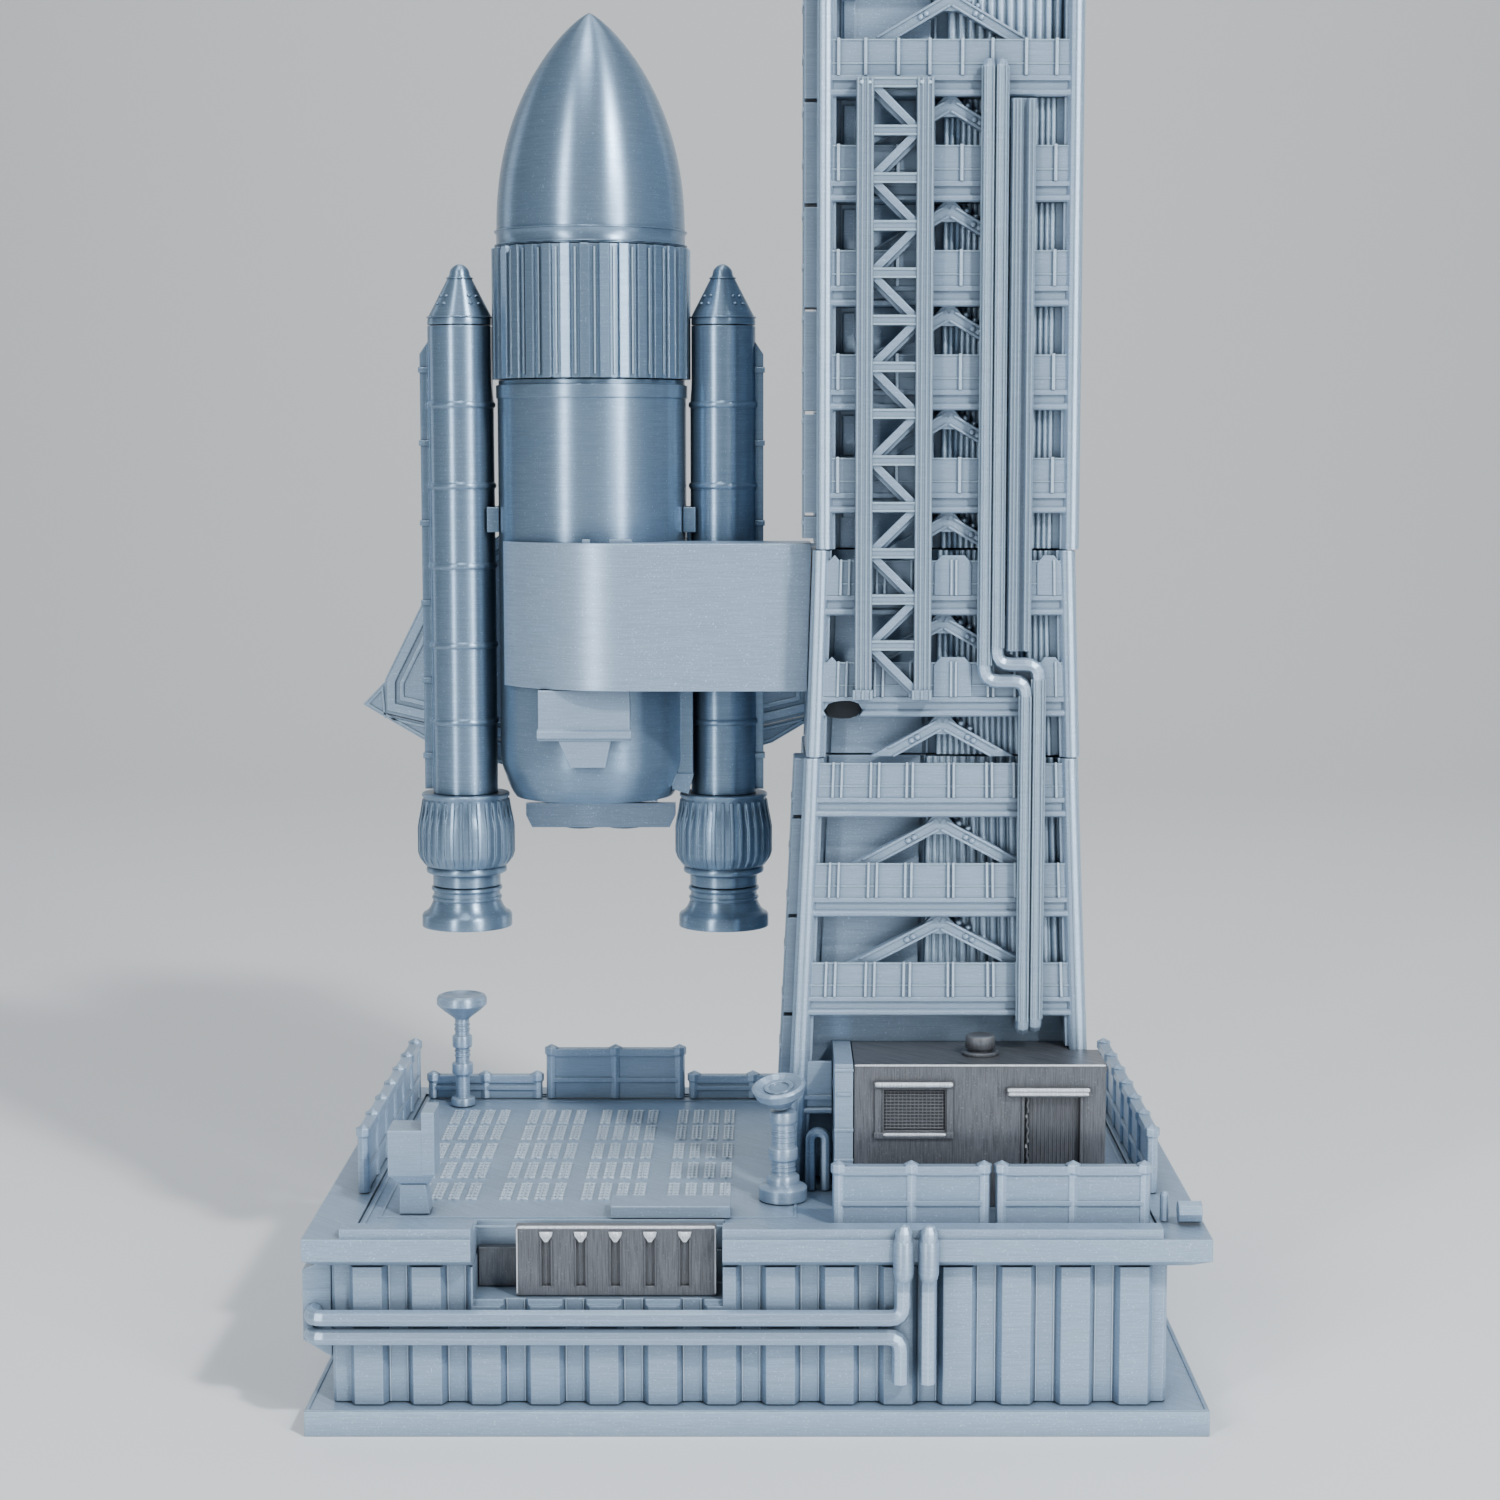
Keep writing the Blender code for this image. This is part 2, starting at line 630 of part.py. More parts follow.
def brace(middle, z, low_end):
    """Inverted V brace with its gusset over the floor at z, cut off below the section's end."""
    tip = z + BRACE_TIP
    shapes = []
    for side in (-1, 1):
        foot = (middle + side * BRACE_SPREAD, z + BRACE_FOOT)
        leg = above(bar_outline(foot, (middle, tip), BRACE_WIDTH), low_end)
        shapes.append(prism(leg, TOWER_FRONT + 2.8, TOWER_FRONT + 5.6, "Y"))
    low = tip - 2.6
    high = z + LEVEL_PITCH - BEAM_HEIGHT + 0.3
    gusset = [(middle - 5.4, low), (middle + 5.4, low), (middle + 1.2, high), (middle - 1.2, high)]
    shapes.append(prism(gusset, TOWER_FRONT + 2.95, TOWER_FRONT + 5.4, "Y"))
    return shapes


def side_tray(middle, low, high, reach):
    """Cable tray on the tower's rocket side, with a notch at every level."""
    outer = middle - TOWER_HALF - reach
    inner = middle - TOWER_HALF + 3.0
    notch = 0.9
    shapes = []
    start = low
    for level in range(1, TOP_LEVEL + 1):
        break_z = level_height(level) - BEAM_HEIGHT - notch
        if break_z <= start + 2:
            continue
        stop = min(break_z, high)
        shapes.append(block(outer, inner, TOWER_FRONT + 5.0, TOWER_FRONT + 17.0, start, stop))
        start = break_z + notch
        if start >= high - 2:
            break
    return shapes


def tower_section(middle, low, high, levels, braced, extras):
    """One printed length of the tower between two heights, with braces over some of its floors."""
    left = middle - TOWER_HALF
    right = middle + TOWER_HALF
    shapes = [block(left + 2.6, right - 2.6, CORE_FRONT, TOWER_BACK - 2.0, low, high)]
    for x in (left + CORNER_RADIUS, right - CORNER_RADIUS):
        for y in (TOWER_FRONT + CORNER_RADIUS, TOWER_BACK - CORNER_RADIUS):
            shapes.append(prism(circle(x, y, CORNER_RADIUS, 12), low, high))
        inward = 1 if x < middle else -1
        x0, x1 = sorted((x + inward * 0.4, x + inward * 2.4))
        shapes.append(block(x0, x1, TOWER_FRONT + 1.6, CORE_FRONT + 0.5, low, high))
    for level in levels:
        shapes += level_band(middle, level_height(level), high)
    section = fuse(shapes + extras)
    bars = []
    for level in braced:
        bars += brace(middle, level_height(level), low)
    section = fuse([section] + bars)
    flare(section, middle)
    return section


def print_fault():
    """Ragged hole that goes through one beam of the tower's middle length."""
    radii = (4.5, 4.1, 3.4, 3.0, 3.2, 4.0, 4.6, 4.2, 3.1, 2.8, 3.1, 3.9)
    outline = []
    for i, radius in enumerate(radii):
        angle = 2 * math.pi * i / len(radii)
        outline.append((19.9 + radius * math.cos(angle), 157.2 + 0.82 * radius * math.sin(angle)))
    return prism(outline, TOWER_FRONT - 2, CORE_FRONT - 0.6, "Y")


def tower():
    foot = DECK_TOP + GAP
    low_seam = SEAM_LOW - GAP / 2
    high_seam = SEAM_HIGH - GAP / 2
    tray = side_tray(LOWER_X, 50.0, low_seam - 0.5, 2.0)
    lower = tower_section(LOWER_X, foot, low_seam, (1, 2, 3, 4), (2, 3), tray)
    cabin_space = block(17.4, 73.2, TOWER_FRONT - 6, CORE_FRONT, 30, 77.7 + GAP)
    keep(cut(lower, [cabin_space]), "tower_lower", GREY)

    peaks = []
    for level in (5, 6):
        peaks += band_peaks(MIDDLE_X, level_height(level), high_seam)
    socket = [block(MIDDLE_X - TOWER_HALF, MIDDLE_X - TOWER_HALF + 3.0, ARM_FRONT - 1.5, ARM_BACK + 1.5,
                    SEAM_LOW + GAP / 2, high_seam)]
    middle = tower_section(MIDDLE_X, SEAM_LOW + GAP / 2, high_seam, (5, 6), (4, 5), peaks + socket)
    keep(cut(middle, [print_fault()]), "tower_middle", GREY)

    top = level_height(TOP_LEVEL)
    tray = side_tray(UPPER_X, 197.0, top, 2.9)
    levels = (7, 8, 9, 10, 11)
    upper = tower_section(UPPER_X, SEAM_HIGH + GAP / 2, top, levels, (6, *levels), tray)
    keep(upper, "tower_upper", GREY)

    x0 = UPPER_X - TOWER_HALF - 2.0
    x1 = UPPER_X + TOWER_HALF + 2.0
    roof = block(x0, x1, TOWER_FRONT - 0.4, TOWER_BACK + 0.8, top + GAP, top + 2.0)
    wall = block(x0, x1, TOWER_FRONT - 0.4, TOWER_BACK + 0.8, top + 1.9, top + BAND_HEIGHT)
    hollow = block(x0 + 1.6, x1 - 1.6, TOWER_FRONT + 1.2, TOWER_BACK - 0.8, top + 2.0, top + 20)
    keep(fuse([roof, cut(wall, [hollow])]), "tower_roof", GREY)


def lift_truss():
    """Ladder truss on the tower's front with a second set of diagonals behind."""
    shapes = []
    for x in (TRUSS_LEFT, TRUSS_RIGHT - TRUSS_RAIL):
        shapes.append(block(x, x + TRUSS_RAIL, TRUSS_FRONT, TRUSS_BACK, TRUSS_BOTTOM + 1, TRUSS_TOP))
        shapes.append(block(x - 0.5, x + TRUSS_RAIL + 0.3, TRUSS_FRONT - 0.4, TRUSS_BACK - 0.05,
                            TRUSS_BOTTOM, TRUSS_BOTTOM + 2.2))
    inner = TRUSS_LEFT + TRUSS_RAIL - 0.2
    outer = TRUSS_RIGHT - TRUSS_RAIL + 0.2
    count = 13
    first = TRUSS_TOP - RUNG_HEIGHT
    for i in range(count):
        z = first - i * RUNG_PITCH
        shapes.append(block(inner, outer, TRUSS_FRONT + 0.3, TRUSS_BACK - 0.2, z, z + RUNG_HEIGHT))
    truss = fuse(shapes)
    front = (TRUSS_FRONT + 0.6, TRUSS_FRONT + 1.7)
    rear = (TRUSS_BACK - 1.2, TRUSS_BACK - 0.3)
    bars = []
    for i in range(count):
        high = first + RUNG_HEIGHT / 2 - i * RUNG_PITCH
        low = max(high - RUNG_PITCH, TRUSS_BOTTOM + 1.0)
        left_z, right_z = (high, low) if i % 2 == 0 else (low, high)
        for drop, width, depth in ((0.0, 1.7, front), (1.3, 1.5, rear)):
            start = (inner - 0.3, max(left_z - drop, TRUSS_BOTTOM + 0.8))
            end = (outer + 0.3, max(right_z - drop, TRUSS_BOTTOM + 0.8))
            bars.append(bar(start, end, width, depth))
    keep(fuse([truss] + bars), "lift_truss", GREY)


def tower_pipes():
    """Two ducts that step sideways on their way down, and a ribbed pair of cables."""
    y = DUCT_Y
    end_y = CORE_FRONT - GAP
    ducts = []
    for x, step_z, low_x, low_z in ((52.3, 164.3, 62.0, 82.4), (55.1, 168.2, 64.8, 83.0)):
        top = (x, y, 303.6)
        first = (x, y, step_z)
        second = (low_x, y, step_z)
        foot = (low_x, y, low_z)
        route = [top]
        route += bend(first, top, second, 3.2)
        route += bend(second, first, foot, 3.2)
        route += bend(foot, second, (low_x, end_y, low_z), 2.0, 3)
        route.append((low_x, end_y, low_z))
        ducts.append(pipe(route, DUCT_RADIUS))
        ducts.append(turned([(0, 305.2), (1.1, 304.8), (DUCT_RADIUS - 0.05, 303.0)], x, y, 10))
    keep(fuse(ducts), "pipe_bundle", GREY, True)

    back = TRUSS_BACK
    low = 171.2
    high = 296.4
    cables = [block(57.3, 63.0, back - 0.6, back, low, high)]
    for x0, x1 in ((57.3, 60.1), (61.0, 63.0)):
        outline = [(x0, back - 0.4), (x1, back - 0.4), (x1, back - 1.4), (x1 - 0.6, back - 1.9),
                   (x0 + 0.6, back - 1.9), (x0, back - 1.4)]
        cables.append(prism(outline, low + 0.1, high - 0.1))
    keep(fuse(cables), "pipe_pair", GREY)


def arm():
    """Broad arm whose front curves round to the tank's left side."""
    steps = 12
    centre_y = ARM_FRONT + ARM_CURVE
    turn = math.acos((centre_y - ARM_TIP_Y) / ARM_CURVE)
    outline = [(0, ARM_FRONT), (0, ARM_BACK), (ROCKET_X, ARM_BACK)]
    for i in range(steps + 1):
        angle = turn * (1 - i / steps)
        outline.append((ARM_CURVE_X - ARM_CURVE * math.sin(angle), centre_y - ARM_CURVE * math.cos(angle)))
    slab = prism(outline[::-1], ARM_BOTTOM, ARM_TOP)
    for vert in slab.data.vertices:
        if vert.co.x > -MM:
            vert.co.x = (MIDDLE_X - half_width(vert.co.z / MM) - GAP) * MM
    slab.data.update()
    pocket = prism(circle(ROCKET_X, ROCKET_Y, TANK_RADIUS + GAP, 64), ARM_BOTTOM - 5, ARM_TOP + 5)
    return keep(cut(slab, [pocket]), "support_arm", GREY)


def tank_bracket():
    left = -52.1
    right = -30.4
    front = ROCKET_Y - TANK_RADIUS - 1.9
    back = front + 8
    body = block(left, right, front, back, 148.7, ARM_BOTTOM - GAP)
    band = prism([(front - 0.7, 149.4), (front + 0.5, 148.75), (front + 0.5, 151.6), (front - 0.7, 151.0)],
                 left - 0.3, right + 0.3, "X")
    taper = prism([(-47.4, 148.8), (-44.4, 142.3), (-36.3, 142.3), (-34.9, 148.8)], front + 0.3, back, "Y")
    pocket = prism(circle(ROCKET_X, ROCKET_Y, TANK_RADIUS + GAP, 64), 130, 200)
    return keep(cut(fuse([body, band, taper]), [pocket]), "tank_bracket", GREY)


def nose_radius(z):
    share = (z - NOSE_BASE) / (NOSE_TIP - NOSE_BASE)
    return NOSE_RADIUS * (1 - share ** 2.2) ** 0.8


def tank():
    profile = [(0, NOSE_TIP)]
    steps = 11
    for i in range(1, steps + 1):
        share = 1 - (i / steps) ** 1.5
        z = NOSE_BASE + (NOSE_TIP - NOSE_BASE) * share
        profile.append((nose_radius(z), z))
    profile += [(23.0, NOSE_BASE), (23.0, NOSE_BASE - 3.9)]
    keep(turned(profile, ROCKET_X, ROCKET_Y, 40), "tank_nose", GREY, True)

    flute = ((-0.30, FLUTE_ROOT), (-0.24, FLUTE_RADIUS), (0.24, FLUTE_RADIUS), (0.30, FLUTE_ROOT))
    outline = []
    for i in range(FLUTE_COUNT):
        for share, radius in flute:
            angle = 2 * math.pi * (i + share) / FLUTE_COUNT
            outline.append((ROCKET_X + radius * math.cos(angle), ROCKET_Y + radius * math.sin(angle)))
    band_top = NOSE_BASE - 3.9 - GAP
    band = prism(outline, FLUTE_BOTTOM, band_top)
    keep(band, "tank_fluted_band", GREY)

    top = FLUTE_BOTTOM - GAP
    barrel = turned([(22.6, top), (22.6, top - 1.0), (23.2, top - 1.2), (23.2, top - 4.2),
                     (TANK_RADIUS, top - 4.4), (TANK_RADIUS, 142.0), (21.9, 138.5), (20.8, 135.5),
                     (19.4, 133.0)], ROCKET_X, ROCKET_Y, 40)
    feed = block(-19.6, -15.9, 3.5, 6.4, 138.8, ARM_BOTTOM - GAP)
    point = prism([(-21.0, 139.0), (-21.0, 135.2), (-17.0, 134.0), (-15.7, 139.0)], 3.2, 6.7, "Y")
    keep(fuse([barrel, feed, point]), "tank_barrel", GREY, True)


def booster(side, name):
    x = ROCKET_X + side * BOOSTER_OFFSET
    y = ROCKET_Y
    joint = 247.4
    tip = [(0, BOOSTER_TIP), (1.2, BOOSTER_TIP - 0.4), (2.2, BOOSTER_TIP - 1.4), (2.5, BOOSTER_TIP - 2.6)]
    cone = [(7.6, 249.6), (BOOSTER_RADIUS, 248.4), (BOOSTER_RADIUS, joint)]
    nose = turned(tip + cone, x, y, 24)
    clearance = prism(circle(ROCKET_X, ROCKET_Y, FLUTE_RADIUS + GAP, 96), 233, 270)
    keep(cut(nose, [clearance]), name + "_nose", GREY, True)

    profile = [(BOOSTER_RADIUS, joint - GAP)]
    for z in BOOSTER_RINGS:
        profile += [(BOOSTER_RADIUS, z + 0.8), (BOOSTER_RADIUS + 0.45, z), (BOOSTER_RADIUS, z - 0.8)]
    profile.append((BOOSTER_RADIUS, 133.6))
    body = turned(profile, x, y, 24)
    clearance = prism(circle(ROCKET_X, ROCKET_Y, FLUTE_RADIUS + GAP, 96), 233, 270)
    body = cut(body, [clearance])
    edge = x + side * (BOOSTER_RADIUS - 0.8)
    far = x + side * (BOOSTER_RADIUS + 1.9)
    strip = prism([(edge, 134.4), (far, 134.4), (far, 240.4), (edge, 244.4)], y - 1.2, y + 1.2, "Y")
    x0, x1 = sorted((ROCKET_X + side * 21.0, ROCKET_X + side * 25.2))
    lugs = [block(x0, x1, y - 6.3, y - 3.1, 197.6, 203.6), block(x0, x1, y + 3.1, y + 6.3, 197.6, 203.6)]
    barrel_gap = prism(circle(ROCKET_X, ROCKET_Y, TANK_RADIUS + GAP, 64), 190, 210)
    body = cut(fuse([body, strip] + lugs), [barrel_gap])
    keep(body, name + "_body", GREY, True)

    outline = []
    for i in range(SKIRT_RIBS):
        for share, radius in ((-0.22, SKIRT_RADIUS - 0.1), (-0.1, SKIRT_RADIUS + 0.4),
                              (0.1, SKIRT_RADIUS + 0.4), (0.22, SKIRT_RADIUS - 0.1)):
            angle = 2 * math.pi * (i + share) / SKIRT_RIBS
            outline.append((x + radius * math.cos(angle), y + radius * math.sin(angle)))
    ribbed = prism(outline, 118.0, 125.6)
    shell = turned([(8.3, 133.4), (10.8, 133.4), (10.8, 132.5), (10.4, 132.2), (10.4, 129.2), (11.2, 126.6),
                    (SKIRT_RADIUS, 125.0), (SKIRT_RADIUS, 118.6), (10.2, 115.6), (9.4, 115.3), (9.9, 114.8),
                    (9.9, 113.8), (8.3, 113.1), (8.3, 110.6)], x, y, 32)
    keep(fuse([shell, ribbed]), name + "_skirt", GREY)

    bell = turned([(8.2, 110.3), (8.7, 109.9), (8.7, 109.4), (8.2, 109.1), (8.2, 107.9), (8.6, 107.6),
                   (8.6, 107.1), (8.3, 106.8), (9.5, 104.2), (10.8, 103.5), (11.1, 102.9), (11.1, 100.3),
                   (10.0, 100.3), (7.5, 105.5), (0, 106.5)], x, y, 24)
    keep(bell, name + "_nozzle", GREY, True)


def boosters():
    for side, name in ((-1, "booster_left"), (1, "booster_right")):
        booster(side, name)


def orbiter():
    x = ROCKET_X
    y = ORBITER_Y
    outline = [(x - FUSELAGE_HALF, y), (x + FUSELAGE_HALF, y)]
    for i in range(9):
        angle = math.pi * i / 8
        outline.append((x + FUSELAGE_HALF * math.cos(angle), y + 12.0 + 9.0 * math.sin(angle)))
    hull = prism(outline, 128.0, 222.0)
    keep(hull, "orbiter_fuselage", GREY)

    nose_rings = []
    bm = bmesh.new()
    for step in range(7):
        t = step / 6
        size = math.cos(t * math.pi / 2 * 0.93) ** 0.75
        z = 222.0 + GAP + 30.0 * math.sin(t * math.pi / 2)
        ring = []
        for u, v in outline:
            deep = y + 8.0 * t + (v - y) * (0.1 + 0.9 * size) * (1 - 0.25 * t)
            ring.append(bm.verts.new(Vector((x + (u - x) * size, deep, z)) * MM))
        nose_rings.append(ring)
    bm.faces.new(nose_rings[0][::-1])
    bm.faces.new(nose_rings[-1])
    for lower, upper in zip(nose_rings, nose_rings[1:]):
        for i in range(len(outline)):
            j = (i + 1) % len(outline)
            bm.faces.new((lower[i], lower[j], upper[j], upper[i]))
    keep(from_bmesh(bm), "orbiter_nose", GREY, True)

    for side, name in ((-1, "left"), (1, "right")):
        root = FUSELAGE_HALF + GAP
        plan = [(root, 141.5), (root, 226.0), (root + 3.0, 214.0), (root + 9.0, 197.0), (43.3, 182.0),
                (54.6, 159.3), (54.6, 150.8), (root, 141.5)][:-1]
        wing = prism([(x + side * u, z) for u, z in plan], y, y + 3.4, "Y")
        keep(wing, "orbiter_wing_" + name, GREY)
        flap = [(root, 134.5), (root, 141.2), (54.6, 150.5), (54.6, 158.8),
                (WING_HALF, 153.0), (43.8, 143.2)]
        elevon = prism([(x + side * u, z) for u, z in flap], y, y + 3.4, "Y")
        keep(elevon, "orbiter_elevon_" + name, GREY)

    top = y + 21.0
    fin = prism([(top + GAP, 132.0), (top + GAP, 160.0), (top + 22.0, 136.0), (top + 22.0, 124.0),
                 (top + 17, 122.0)], x - 1.6, x + 1.6, "X")
    keep(fin, "orbiter_fin", GREY)
    flap = [(x - 19.1, 127.6), (x + 19.1, 127.6), (x + 19.1, 124.6), (x + 17.6, 121.4), (x - 17.6, 121.4),
            (x - 19.1, 124.6)]
    keep(prism(flap, y, y + 2.6, "Y"), "orbiter_body_flap", GREY)
    for side, name in ((-1, "left"), (1, "right")):
        pod = turned([(0, 158.0), (2.6, 155.0), (4.2, 148.0), (4.6, 140.0), (4.2, 128.0), (2.6, 125.0)],
                     x + side * 6.6, top + 2.4, 14)
        hull_cut = prism([(u, v + GAP) for u, v in outline], 120.0, 230.0)
        fin_cut = block(x - 1.9, x + 1.9, top - 10, top + 30, 110, 170)
        keep(cut(pod, [hull_cut, fin_cut]), "orbiter_pod_" + name, GREY, True)
    engines = [block(x - 10.5, x + 10.5, y + 3.6, y + 19.5, 126.2, 127.7)]
    for dx, dy in ((0, 15.6), (-5.6, 8.4), (5.6, 8.4)):
        bell = [(1.8, 126.8), (2.2, 125.4), (4.0, 120.4), (3.4, 120.4), (0, 124.6)]
        engines.append(turned(bell, x + dx, y + dy, 12))
    keep(fuse(engines), "orbiter_engines", GREY)


clear_scene()
GREY = material("print_grey", PRINT_GREY, 0.42, 0.15)
DARK = material("dark_bronze", DARK_BRONZE, 0.45, 0.25)

pad_foot()
pad_wall()
pad_rim()
deck()
railings()
rim_fittings()
front_pipes()
side_box()
slot_blocks()
cabin()
lamp()
masts()
hose_arch()
tower()
lift_truss()
tower_pipes()
arm()
tank_bracket()
tank()
boosters()
orbiter()
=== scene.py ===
"""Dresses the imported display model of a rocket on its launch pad, and lights it for the photograph's view.

Lengths below are in millimetres, in the model's own frame: +Z up, -Y the front.
"""

import math

import bmesh
import bpy
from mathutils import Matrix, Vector


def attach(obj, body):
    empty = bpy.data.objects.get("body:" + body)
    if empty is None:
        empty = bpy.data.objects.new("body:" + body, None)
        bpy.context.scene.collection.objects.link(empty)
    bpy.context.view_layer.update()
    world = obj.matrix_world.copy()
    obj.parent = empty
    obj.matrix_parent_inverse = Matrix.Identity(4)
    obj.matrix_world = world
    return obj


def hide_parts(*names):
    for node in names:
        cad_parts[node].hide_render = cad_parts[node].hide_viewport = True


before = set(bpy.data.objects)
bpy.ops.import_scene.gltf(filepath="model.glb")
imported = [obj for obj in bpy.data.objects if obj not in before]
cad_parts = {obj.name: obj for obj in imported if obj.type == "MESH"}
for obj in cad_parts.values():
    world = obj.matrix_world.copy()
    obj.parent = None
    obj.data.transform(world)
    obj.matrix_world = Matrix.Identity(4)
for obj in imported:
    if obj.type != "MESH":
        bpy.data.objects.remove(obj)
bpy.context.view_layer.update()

MM = 0.001

# Tower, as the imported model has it
LOWER_X = 42.6
MIDDLE_X = 43.0
UPPER_X = 43.8
TOWER_HALF = 30.2
TOWER_FLARE = 6.1
FLARE_POWER = 1.2
FLARE_TOP = 194.5
FLARE_DROP = 150.3
TOWER_FRONT = -28.0
TOWER_BACK = 24.0
CORE_FRONT = -18.5
CORE_BACK = 22.0
CORE_HALF = 27.6
LEVEL_BASE = 42.9
LEVEL_PITCH = 23.52
BAND_HEIGHT = 8.0
BEAM_HEIGHT = 4.6
BAND_FACE = -27.0
BAND_BACK = 23.4
BRACE_FACE = -25.2
BRACE_SPREAD = 26.5
BRACE_FOOT = 1.6
BRACE_TIP = 17.2
CABIN_ROOF = 77.5
CABIN_FRONT = -44.5

# Each printed length: name, middle, low end, high end, its bands, its bays
SECTIONS = (
    ("lower", LOWER_X, 44.5, 146.15, (2, 3, 4), (1, 2, 3, 4)),
    ("middle", MIDDLE_X, 146.45, 194.35, (5, 6), (4, 5, 6)),
    ("upper", UPPER_X, 194.65, 325.1, (7, 8, 9, 10, 11), (6, 7, 8, 9, 10, 11)),
)
PAIRED_RIBS = (-28.2, -23.7, -21.8, -15.4, -13.6, -7.5, -6.2, 1.7, 2.8, 10.0, 11.2, 16.0, 25.3, 27.8)
SINGLE_RIBS = (-28.2, -25.4, -19.3, -11.9, -4.8, 2.6, 9.4, 17.0, 23.9, 28.0)
TUBE_STEP = 2.7
OUTER_TUBES = CORE_FRONT - 5.2

# Pad and what stands on it
DECK_TOP = 44.2
WALL_RIGHT = 89.2
WALL_LEFT = -92.6
WALL_BACK = 66.4
WALL_PITCH = 13.1
SLOT_FRONT = -65.4
GROOVES = [-47.0 + i * 7.72 for i in range(5)]
GRATE_ROWS = ((-38.6, -24.6), (-19.8, -5.8), (-1.4, 12.6), (16.8, 30.8), (33.4, 47.4))
GRATE_GROUPS = (-78.7, -58.7, -39.8, -19.8)
MAST_X = -78.7
MAST_Y = 54.0
DISH_X = 5.9
DISH_Y = -38.0

# Rocket and the arm that holds it
ROCKET_X = -40.4
ROCKET_Y = 11.5
TANK_RADIUS = 22.9
BOOSTER_OFFSET = 31.8
BOOSTER_RADIUS = 7.95
ORBITER_Y = 34.8
ARM_FRONT = -18.5
ARM_BACK = 2.0
ARM_BOTTOM = 161.0
ARM_TOP = 195.6
ARM_CURVE = 36.0
ARM_CURVE_X = -30.1
ARM_TIP_Y = -0.6


# Mesh building

def lay(bm, outline, w, axis="Z"):
    """Points of an outline of (u, v), laid at w along an axis."""
    spots = [{"X": (w, u, v), "Y": (u, w, v), "Z": (u, v, w)}[axis] for u, v in outline]
    return [bm.verts.new(Vector(spot) * MM) for spot in spots]


def skin(bm, rings):
    """Join a stack of rings of points and close its ends; a ring of one point is a tip."""
    sides = max(len(ring) for ring in rings)
    for ring in (rings[0], rings[-1]):
        if len(ring) > 1:
            bm.faces.new(ring)
    for one, other in zip(rings, rings[1:]):
        for i in range(sides):
            j = (i + 1) % sides
            corners = (one[i % len(one)], one[j % len(one)], other[j % len(other)], other[i % len(other)])
            bm.faces.new(list(dict.fromkeys(corners)))


def add_prism(bm, outline, low, high, axis="Z"):
    """Extrude a closed outline of (u, v) points from low to high along an axis."""
    skin(bm, [lay(bm, outline, w, axis) for w in (low, high)])


def add_box(bm, x0, x1, y0, y1, z0, z1):
    add_prism(bm, [(x0, y0), (x1, y0), (x1, y1), (x0, y1)], z0, z1)


def add_tall_box(bm, x0, x1, y0, y1, heights):
    """Box with a ring of corners at every height, so that it can follow the flare."""
    skin(bm, [lay(bm, [(x0, y0), (x1, y0), (x1, y1), (x0, y1)], z) for z in heights])


def add_ring_frame(bm, outline, margin, width, low, high, axis="Z"):
    """Flat frame of a width along an outline, at a margin inside it."""
    edges = (inset(outline, margin), inset(outline, margin + width))
    outer_low, outer_high, inner_low, inner_high = (lay(bm, edge, w, axis) for edge in edges for w in (low, high))
    for i in range(len(outline)):
        j = (i + 1) % len(outline)
        bm.faces.new((outer_low[i], outer_low[j], outer_high[j], outer_high[i]))
        bm.faces.new((inner_low[i], inner_high[i], inner_high[j], inner_low[j]))
        bm.faces.new((outer_low[i], inner_low[i], inner_low[j], outer_low[j]))
        bm.faces.new((outer_high[i], outer_high[j], inner_high[j], inner_high[i]))


def around(x, y, radius, angle):
    """Point on a circle about (x, y)."""
    return x + radius * math.cos(angle), y + radius * math.sin(angle)


def circle(x, y, radius, sides):
    """Points of a circle about (x, y), or that middle alone where there is no radius."""
    if radius < 0.0001:
        return [(x, y)]
    return [around(x, y, radius, 2 * math.pi * i / sides) for i in range(sides)]


def add_lathe(bm, profile, x, y, sides, z0=0.0):
    """Turn a profile of (radius, z) points about a vertical axis."""
    skin(bm, [lay(bm, circle(x, y, radius, sides), z0 + z) for radius, z in profile])


def add_ring(bm, x, y, z, radius, rise, sides):
    """Thin rounded ring on an upright round piece."""
    profile = [(radius, 0.5), (radius + rise, 0.35), (radius + rise, 0.15), (radius, 0.0)]
    add_lathe(bm, profile, x, y, sides, z)


def add_tube(bm, x, y, low, high, radius):
    add_lathe(bm, [(radius, high), (radius, low)], x, y, 10)


def add_path(bm, points, radii, sides):
    """Round strand through a chain of points across Y, with its own radius at each point."""
    points = [Vector(p) for p in points]
    rings = []
    for i, point in enumerate(points):
        ahead = (points[min(i + 1, len(points) - 1)] - points[max(i - 1, 0)]).normalized()
        side = ahead.cross(Vector((0, 1, 0))).normalized()
        other = ahead.cross(side)
        rings.append([bm.verts.new((point + side * u + other * v) * MM) for u, v in circle(0, 0, radii[i], sides)])
    skin(bm, rings)


def add_dome(bm, x, y, z, radius, height, sides=10, upward=False):
    """Low dome that stands out of a front face, or upward out of a flat one."""
    rings = []
    for lift in (math.radians(degrees) for degrees in (0, 30, 60, 90)):
        size = radius * math.cos(lift)
        out = height * math.sin(lift)
        if upward:
            rings.append(lay(bm, circle(x, y, size, sides), z + out))
        else:
            rings.append(lay(bm, circle(x, z, size, sides), y - out, "Y"))
    skin(bm, rings)


def bar(start, end, width):
    """Outline of a straight bar between two points."""
    along = (end - start).normalized()
    side = Vector((along.y, -along.x)) * width / 2
    return [start + side, end + side, end - side, start - side]


